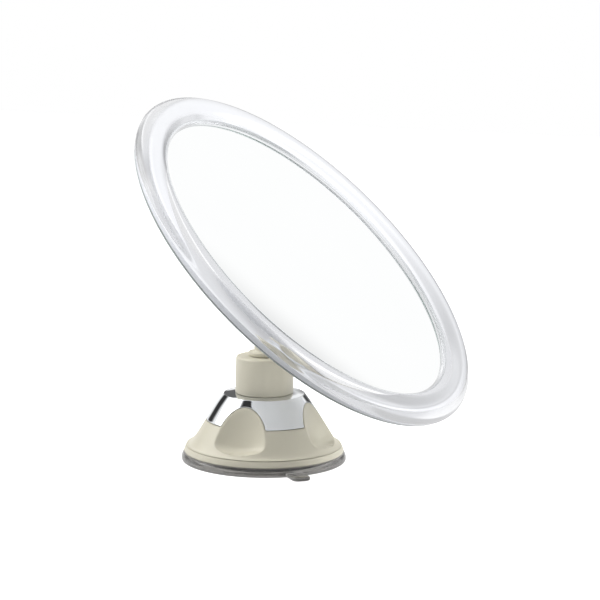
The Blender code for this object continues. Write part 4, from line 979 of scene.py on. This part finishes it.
# Back cover: a shallow white bowl pressed into the ring's step behind the glass, with a thick round land
# that the hinge's yoke is screwed to.
COVER_FRONT = 0.0286
COVER_RIM_BACK = 0.0268
COVER_RIM_WIDTH = 0.0062
COVER_RIM_BEND = 0.0012
COVER_STEP_WIDTH = 0.0035
COVER_STEP_DEPTH = 0.0024
COVER_STEP_BEND = 0.003
COVER_WALL = 0.002
COVER_INSIDE = 0.0261
COVER_STEPS = 200
COVER_ROWS = 8
LAND_ROWS = 6
LAND_RADIUS = 0.0235
LAND_SLOPE = 0.003
LAND_THICKNESS = 0.0035
LAND_EDGE = 0.0008
LAND_BEND = 0.002


def back_cover():
    rim_in = GLASS_RADIUS - COVER_RIM_WIDTH
    rim_face = COVER_FRONT - glass_sag(rim_in)
    step_in = rim_in - COVER_STEP_WIDTH
    land = COVER_INSIDE - glass_sag(0) - LAND_THICKNESS
    outer = COVER_INSIDE - COVER_WALL
    slope_start = LAND_RADIUS + LAND_SLOPE
    inside = [PAD_RADIUS * i / COVER_ROWS for i in range(COVER_ROWS + 1)]
    outside = [PAD_RADIUS + (slope_start - PAD_RADIUS) * i / LAND_ROWS for i in range(LAND_ROWS)]
    profile = rounded([
        *[(r, COVER_INSIDE - glass_sag(r), 0) for r in inside],
        (step_in, rim_face - COVER_STEP_DEPTH, FILLET),
        (rim_in, rim_face, FILLET),
        (GLASS_RADIUS, COVER_FRONT, BROKEN_EDGE),
        (GLASS_RADIUS, COVER_RIM_BACK, SMALL_EDGE),
        (rim_in + COVER_WALL, COVER_RIM_BACK, COVER_RIM_BEND),
        (step_in + COVER_WALL / 2, rim_face - COVER_STEP_DEPTH - COVER_WALL, COVER_STEP_BEND),
        *[(r, outer - glass_sag(r), 0) for r in outside],
        (slope_start, outer - glass_sag(slope_start), LAND_BEND),
        (LAND_RADIUS, land, LAND_EDGE),
        (0, land, 0),
    ])
    return moved(turned("cover", profile, COVER_STEPS), HEAD)


white = finish(
    "white_plastic", (232, 233, 234), 0.34,
    shades=(0.02, (229, 230, 231), (235, 236, 237), 3.0),
    gloss=(0.0015, 0.28, 0.4),
    relief=(0.00035, 0.000012, 0.35, 3.0),
)
fitted("cover_moulding", back_cover(), white, ["back_cover"], "mirror_head")


# Hinge yoke: a round plate with two ears, moulded in one piece of the cream plastic. It lies on the
# cover's land, and its ears hold the neck's eye.
YOKE_RADIUS = 0.021
YOKE_FRONT = 0.01813
YOKE_BACK = 0.01513
YOKE_EDGE = 0.0008
EAR_IN = 0.005
EAR_OUT = 0.009
EAR_RADIUS = 0.007
EAR_ROOT = 0.0105
EAR_JOIN = 0.0005
EAR_ARC = (110, 250, 24)


def hinge_yoke():
    profile = rounded([
        (0, YOKE_BACK, 0),
        (YOKE_RADIUS, YOKE_BACK, YOKE_EDGE),
        (YOKE_RADIUS, YOKE_FRONT, BROKEN_EDGE),
        (0, YOKE_FRONT, 0),
    ])
    root = YOKE_BACK + EAR_JOIN
    outline = [(root, -EAR_ROOT), (root, EAR_ROOT), *arc(0, 0, EAR_RADIUS, *EAR_ARC)]
    ears = []
    for side in (-1, 1):
        low, high = sorted((side * EAR_IN, side * EAR_OUT))
        ear = plate_shape(f"ear_{side}", outline, low, high, SMALL_EDGE)
        ear.transform(Matrix.Rotation(-pi / 2, 4, "Y") @ Matrix.Scale(-1, 4, (0, 0, 1)))
        ear.flip_normals()
        ears.append(ear)
    joined = carved(turned("yoke_plate", profile, ROUND_STEPS), ears, "UNION")
    return moved(carved(joined, [crosswise("ear_bore", EYE_BORE, 2 * EAR_OUT)]), HEAD)


fitted("yoke_moulding", hinge_yoke(), cream, ["hinge_yoke"], "mirror_head")


# Yoke screws: four zinc-plated pan-head screws with a cross recess, driven through the yoke into the
# cover's land.
SCREW_ACROSS = 0.02918
SCREW_UP = 0.01822
SCREW_HEAD_RADIUS = 0.0024
SCREW_HEAD_HEIGHT = 0.0016
SCREW_HEAD_BEND = 0.0009
SCREW_CROWN_RADIUS = 0.0011
SCREW_SEAT_EDGE = 0.0001
SCREW_RADIUS = 0.00125
SCREW_LENGTH = 0.0058
SCREW_STEPS = 28
SCREW_SEED = 7
RECESS_HALF = 0.0013
RECESS_THIN = 0.000275
RECESS_DEPTH = 0.0008


def pan_screw():
    """One screw, with its head downwards and its seat at height 0."""
    profile = rounded([
        (0, -SCREW_HEAD_HEIGHT, 0),
        (SCREW_CROWN_RADIUS, -SCREW_HEAD_HEIGHT, FILLET),
        (SCREW_HEAD_RADIUS, -SCREW_HEAD_HEIGHT / 2, SCREW_HEAD_BEND),
        (SCREW_HEAD_RADIUS, 0, SCREW_SEAT_EDGE),
        (SCREW_RADIUS, 0, 0),
        (SCREW_RADIUS, SCREW_LENGTH - SCREW_RADIUS, 0),
        (0, SCREW_LENGTH, 0),
    ])
    low = -SCREW_HEAD_HEIGHT - RECESS_DEPTH
    high = -SCREW_HEAD_HEIGHT + RECESS_DEPTH
    arms = [
        block("recess_along", (-RECESS_HALF, -RECESS_THIN, low), (RECESS_HALF, RECESS_THIN, high)),
        block("recess_across", (-RECESS_THIN, -RECESS_HALF, low), (RECESS_THIN, RECESS_HALF, high)),
    ]
    return carved(turned("pan_screw", profile, SCREW_STEPS), arms)


def screw_pattern():
    """A tree that sets a screw at each corner of an oblong, each turned by chance."""
    inputs = {"Screw": "Object", "Across": "Float", "Up": "Float", "Seed": "Int"}
    tree, given, end = geometry_tree("screw_pattern", **inputs)
    corners = node_with(tree, "GeometryNodeMeshGrid", Size_X=given["Across"], Size_Y=given["Up"])
    adjusted(tree, corners, Vertices_X=2, Vertices_Y=2)
    chance = node_with(tree, "FunctionNodeRandomValue", data_type="FLOAT_VECTOR", Seed=given["Seed"])
    adjusted(tree, chance, (0, 0, 0), (0, 0, pi))
    screw = node_with(tree, "GeometryNodeObjectInfo", Object=given["Screw"]).outputs["Geometry"]
    screws = node_with(tree, "GeometryNodeInstanceOnPoints", Points=corners.outputs[0], Instance=screw)
    adjusted(tree, screws, Rotation=chance.outputs[0])
    return close_tree(tree, screws.outputs[0], given, end)


def yoke_screws():
    holder = bpy.data.objects.new("pan_screw", pan_screw())
    values = {"Screw": holder, "Across": SCREW_ACROSS, "Up": SCREW_UP, "Seed": SCREW_SEED, "Finish": zinc}
    mesh = grown(screw_pattern(), values)
    bpy.data.objects.remove(holder)
    return moved(mesh, HEAD @ Matrix.Translation((0, 0, YOKE_BACK)))


screw_nodes = [f"yoke_screw_{i}" for i in range(1, 5)]
fitted("yoke_screws", yoke_screws(), zinc, screw_nodes, "mirror_head")


# Pivot: a socket-headed bolt through the ears and the neck's eye, with a split spring washer and a domed
# nut that keep the tilt stiff, and a plastic washer on each side of the eye.
BOLT_RADIUS = 0.002
BOLT_HEAD_RADIUS = 0.0042
BOLT_HEAD_START = 0.0093
BOLT_HEAD_SIDE = 0.01047
BOLT_HEAD_TOP = 0.0119
BOLT_HEAD_BEND = 0.0008
BOLT_CROWN_RADIUS = 0.00231
BOLT_CROWN_BEND = 0.0012
BOLT_END = 0.0135
SOCKET_WIDTH = 0.003
SOCKET_DEPTH = 0.0016
NUT_FACE = 0.0106
NUT_HEIGHT = 0.0032
NUT_RADIUS = 0.004
NUT_DOME_RADIUS = 0.0034
NUT_DOME_STEPS = 12
NUT_END = 0.0166
SPRING_INSIDE = 0.0023
SPRING_OUTSIDE = 0.0039
SPRING_FACES = (-0.01028, -0.00932)
SPRING_GAP = radians(14)
SPRING_STEPS = 44


def along_pivot(mesh):
    """Lays a piece that was made upright along the hinge's axis, with its top to the right."""
    return moved(mesh, HEAD @ Matrix.Rotation(pi / 2, 4, "Y"))


def hexagon(name, radius, low, high, edge=0.0):
    return plate_shape(name, arc(0, 0, radius, 0, 300, 5), low, high, edge)


def pivot_bolt():
    profile = rounded([
        (0, -BOLT_END, 0),
        (BOLT_RADIUS, -BOLT_END, BROKEN_EDGE),
        (BOLT_RADIUS, BOLT_HEAD_START, 0),
        (BOLT_HEAD_RADIUS, BOLT_HEAD_START, FINE_EDGE),
        (BOLT_HEAD_RADIUS, BOLT_HEAD_SIDE, BOLT_HEAD_BEND),
        (BOLT_CROWN_RADIUS, BOLT_HEAD_TOP, BOLT_CROWN_BEND),
        (0, BOLT_HEAD_TOP, 0),
    ])
    low, high = BOLT_HEAD_TOP - SOCKET_DEPTH, BOLT_HEAD_TOP + SOCKET_DEPTH
    socket = hexagon("socket", SOCKET_WIDTH / sqrt(3), low, high)
    return along_pivot(carved(turned("bolt", profile, PIN_STEPS), [socket]))


def domed_nut():
    body = hexagon("nut", NUT_RADIUS, -NUT_FACE - NUT_HEIGHT, -NUT_FACE, BROKEN_EDGE)
    start = -NUT_FACE - NUT_HEIGHT + SMALL_EDGE
    profile = [(0, start), (NUT_DOME_RADIUS, start)]
    for i in range(1, NUT_DOME_STEPS):
        angle = pi / 2 * i / NUT_DOME_STEPS
        profile.append((NUT_DOME_RADIUS * cos(angle), start - (NUT_END + start) * sin(angle)))
    dome = turned("dome", [*profile, (0, -NUT_END)], PIN_STEPS)
    return along_pivot(carved(body, [dome], "UNION"))


def split_washer():
    """A spring washer: a ring cut through at one place."""
    low, high = SPRING_FACES
    corners = [(SPRING_INSIDE, low), (SPRING_OUTSIDE, low), (SPRING_OUTSIDE, high), (SPRING_INSIDE, high)]
    angles = SPRING_GAP / 2 + (2 * pi - SPRING_GAP) * np.arange(SPRING_STEPS + 1) / SPRING_STEPS
    shape = bmesh.new()
    rows = [[shape.verts.new(point) for point in row] for row in zip(*rings(angles, corners))]
    for row, following in zip(rows, rows[1:]):
        for k in range(4):
            after = (k + 1) % 4
            shape.faces.new([row[k], row[after], following[after], following[k]])
    shape.faces.new(rows[0][::-1])
    shape.faces.new(rows[-1])
    return along_pivot(as_mesh("split_washer", shape))


fitted("pivot_bolt", pivot_bolt(), zinc, ["pivot_screw"], "mirror_head")
fitted("domed_nut", domed_nut(), zinc, ["pivot_nut"], "mirror_head")
fitted("split_washer", split_washer(), zinc, ["pivot_spring_washer"], "mirror_head")
refinished(acetal, "pivot_washer_left", "pivot_washer_right")


# Camera: it stands a little above the mirror's pivot, to the left of its front, and looks slightly down.
# Its lens is long, so that the ring stays a true oval.
CAMERA_TURN = radians(-63.8)
CAMERA_PLACE = Vector((0.0166, -0.950, 0.2284))
CAMERA_DIP = radians(9.05)
CAMERA_ROLL = radians(0.57)
LENS_PIXELS = 2029
FRAME_PIXELS = 600
SENSOR = 36


def photograph_camera():
    turn = Matrix.Rotation(CAMERA_TURN, 3, "Z")
    forward = turn @ Vector((0, cos(CAMERA_DIP), -sin(CAMERA_DIP)))
    right = forward.cross(Vector((0, 0, 1))).normalized()
    up = right.cross(forward)
    across = right * cos(CAMERA_ROLL) + up * sin(CAMERA_ROLL)
    upright = up * cos(CAMERA_ROLL) - right * sin(CAMERA_ROLL)
    lens = bpy.data.cameras.new("camera")
    lens.lens = LENS_PIXELS / FRAME_PIXELS * SENSOR
    lens.sensor_width = SENSOR
    camera = placed("camera", lens)
    axes = Matrix((across, upright, -forward)).transposed()
    camera.matrix_world = Matrix.Translation(turn @ CAMERA_PLACE) @ axes.to_4x4()
    bpy.context.scene.camera = camera


photograph_camera()


# Studio: a large soft light on the camera's left, a stronger one opposite, a small one above, and white
# walls. The walls and the floor show white to the camera and to metal, and the floor keeps the object's
# real shadow for the camera. To glass the walls show a painted light grey. Cards out of view shade the
# chrome and the clear ring, each by its own amounts, which paints shade and light into what the ring
# shows. The lamps are hidden from metal and glass, and the brighter patches where they stand are painted
# lamp reflections. The shade zones round the base and under the cup are painted shadows on the floor,
# seen only in metal and glass.
LIGHTS = {  # azimuth, height, power, size
    "key_light": (103, 38, 7.8, 0.75),
    "fill_light": (306, 30, 13.5, 0.8),
    "top_light": (75, 62, 4.0, 0.6),
}
LIGHT_DISTANCE = 1.1
CARDS = {  # azimuth, height, radius, softness, brightness in metal, brightness in glass
    "card_behind": (34, 15, 9.6, 1.8, 0.14, 1.0),
    "card_left_behind": (64, 15, 12, 4.5, 0.04, 0.68),
    "card_above_left": (150, 56, 17, 4.5, 0.04, 1.0),
    "card_right_behind": (-4, 8, 10, 4.5, 0.08, 1.2),
    "card_low_behind": (15, 5, 8, 4.5, 0.1, 1.15),
    # Painted light: a brighter patch of the backdrop seen only in glass, and painted reflections of the key
    # and fill lights, which are hidden from metal and glass.
    "lit_backdrop": (27, 3, 22, 8, 1.0, 1.3),
    "lit_left": (103, 38, 20, 5, 2.5, 1.5),
    "lit_right": (306, 30, 20, 5, 2.5, 1.5),
    "card_camera_side": (-158, -32, 18, 14, 1.0, 0.35),
    "card_floor_behind": (8, -12, 10, 6, 1.0, 0.8),
    "card_high": (28, 58, 14, 6, 1.0, 0.8),
    "card_far_left": (84, 12, 9, 5, 1.0, 0.78),
    "card_right_side": (-40, 28, 10, 6, 1.0, 0.84),
    # Painted shadows on the floor round the base and under the cup, seen only in metal and glass.
    "shade_round_base": (0, -90, 50, 16, 0.9, 0.7),
    "shade_under_cup": (0, -90, 19.5, 2.2, 0.3, 0.05),
}
ROOM_LIGHT = 0.25
# The painted light grey of the walls as glass sees them.
ROOM_IN_GLASS = 0.82
ROOM_CENTRE = (0, 0, 0.1)
DEEP_BOUNCES = 2.5
WHITE = (1, 1, 1, 1)
FLOOR_GLOW = 0.8
FLOOR_HALF = 2.0
FLOOR_LEVEL = 0.00004


def direction(azimuth, height):
    turn, rise = radians(azimuth), radians(height)
    return Vector((cos(turn) * cos(rise), sin(turn) * cos(rise), sin(rise)))


def soft_light(name, azimuth, height, power, size):
    """A round area light that faces the object from a compass direction."""
    lamp = bpy.data.lights.new(name, "AREA")
    lamp.energy = power
    lamp.shape = "DISK"
    lamp.size = size
    holder = placed(name, lamp)
    way = direction(azimuth, height)
    place = Vector((0, 0, PIVOT_HEIGHT)) + way * LIGHT_DISTANCE
    holder.matrix_world = Matrix.Translation(place) @ way.to_track_quat("Z", "Y").to_matrix().to_4x4()
    holder.visible_camera = holder.visible_transmission = holder.visible_glossy = False


def vector_result(tree, operation, output, *values):
    return node_with(tree, "ShaderNodeVectorMath", *values, operation=operation).outputs[output]


def any_ray(tree, *kinds):
    """1 for a ray of one of these kinds, and 0 for the others."""
    path = tree.nodes.new("ShaderNodeLightPath").outputs
    most = path[f"Is {kinds[0]} Ray"]
    for kind in kinds[1:]:
        most = calculated(tree, "MAXIMUM", most, path[f"Is {kind} Ray"])
    return most


def card_shade(tree, way):
    """How bright the room is in each direction: 1, and less where a card stands, in metal and in glass. Metal
    and glass see painted shadows on the floor and painted lamp reflections, and glass sees the walls a
    painted light grey.
    """
    path = tree.nodes.new("ShaderNodeLightPath").outputs
    deep = calculated(tree, "GREATER_THAN", path["Ray Depth"], DEEP_BOUNCES)
    glassy = calculated(tree, "MAXIMUM", path["Is Transmission Ray"], deep)
    room = calculated(tree, "ADD", calculated(tree, "MULTIPLY", glassy, ROOM_IN_GLASS - 1), 1.0)
    for name, (azimuth, height, radius, soft, in_metal, in_glass) in CARDS.items():
        nearness = vector_result(tree, "DOT_PRODUCT", "Value", way, direction(azimuth, height))
        inner, outer = cos(radians(radius - soft)), cos(radians(radius + soft))
        shade = calculated(tree, "ADD", calculated(tree, "MULTIPLY", glassy, in_glass - in_metal), in_metal)
        edge = node_with(tree, "ShaderNodeMapRange", label=name, interpolation_type="SMOOTHSTEP")
        adjusted(tree, edge, Value=nearness, From_Min=inner, From_Max=outer, To_Min=shade, To_Max=1.0)
        room = calculated(tree, "MULTIPLY", room, edge.outputs["Result"])
    return calculated(tree, "MAXIMUM", room, path["Is Camera Ray"])


def white_room():
    room = bpy.data.worlds.new("white_room")
    room.use_nodes = True
    tree = room.node_tree
    light = adjusted(tree, tree.nodes["Background"], Color=WHITE, Strength=ROOM_LIGHT)
    way = tree.nodes.new("ShaderNodeTexCoord").outputs["Generated"]
    wall = node_with(tree, "ShaderNodeBackground", Color=WHITE, Strength=card_shade(tree, way))
    shown = any_ray(tree, "Camera", "Glossy", "Transmission")
    choice = node_with(tree, "ShaderNodeMixShader", shown, light.outputs[0], wall.outputs[0])
    adjusted(tree, tree.nodes["World Output"], Surface=choice.outputs[0])
    bpy.context.scene.world = room


def white_floor():
    mesh = bpy.data.meshes.new("floor")
    sides = ((-1, -1), (1, -1), (1, 1), (-1, 1))
    mesh.from_pydata([(x * FLOOR_HALF, y * FLOOR_HALF, FLOOR_LEVEL) for x, y in sides], [], [(0, 1, 2, 3)])
    floor = placed("floor", mesh)
    look = finish("white_floor", (226, 226, 226), 0.8)
    tree = look.node_tree
    spot = tree.nodes.new("ShaderNodeTexCoord").outputs["Object"]
    offset = vector_result(tree, "SUBTRACT", "Vector", spot, ROOM_CENTRE)
    way = vector_result(tree, "NORMALIZE", "Vector", offset)
    strength = calculated(tree, "MULTIPLY", any_ray(tree, "Camera"), FLOOR_GLOW)
    glow = node_with(tree, "ShaderNodeEmission", Strength=strength).outputs[0]
    lit = node_with(tree, "ShaderNodeAddShader", tree.nodes["Principled BSDF"].outputs[0], glow).outputs[0]
    # Metal and glass see the floor as a glow with its painted shadows, not its real shadow.
    white = node_with(tree, "ShaderNodeEmission", Strength=card_shade(tree, way)).outputs[0]
    choice = node_with(tree, "ShaderNodeMixShader", any_ray(tree, "Glossy", "Transmission"), lit, white)
    adjusted(tree, tree.nodes["Material Output"], Surface=choice.outputs[0])
    mesh.materials.append(look)


white_room()
white_floor()
for name, light in LIGHTS.items():
    soft_light(name, *light)
bpy.context.scene.view_settings.view_transform = "Standard"
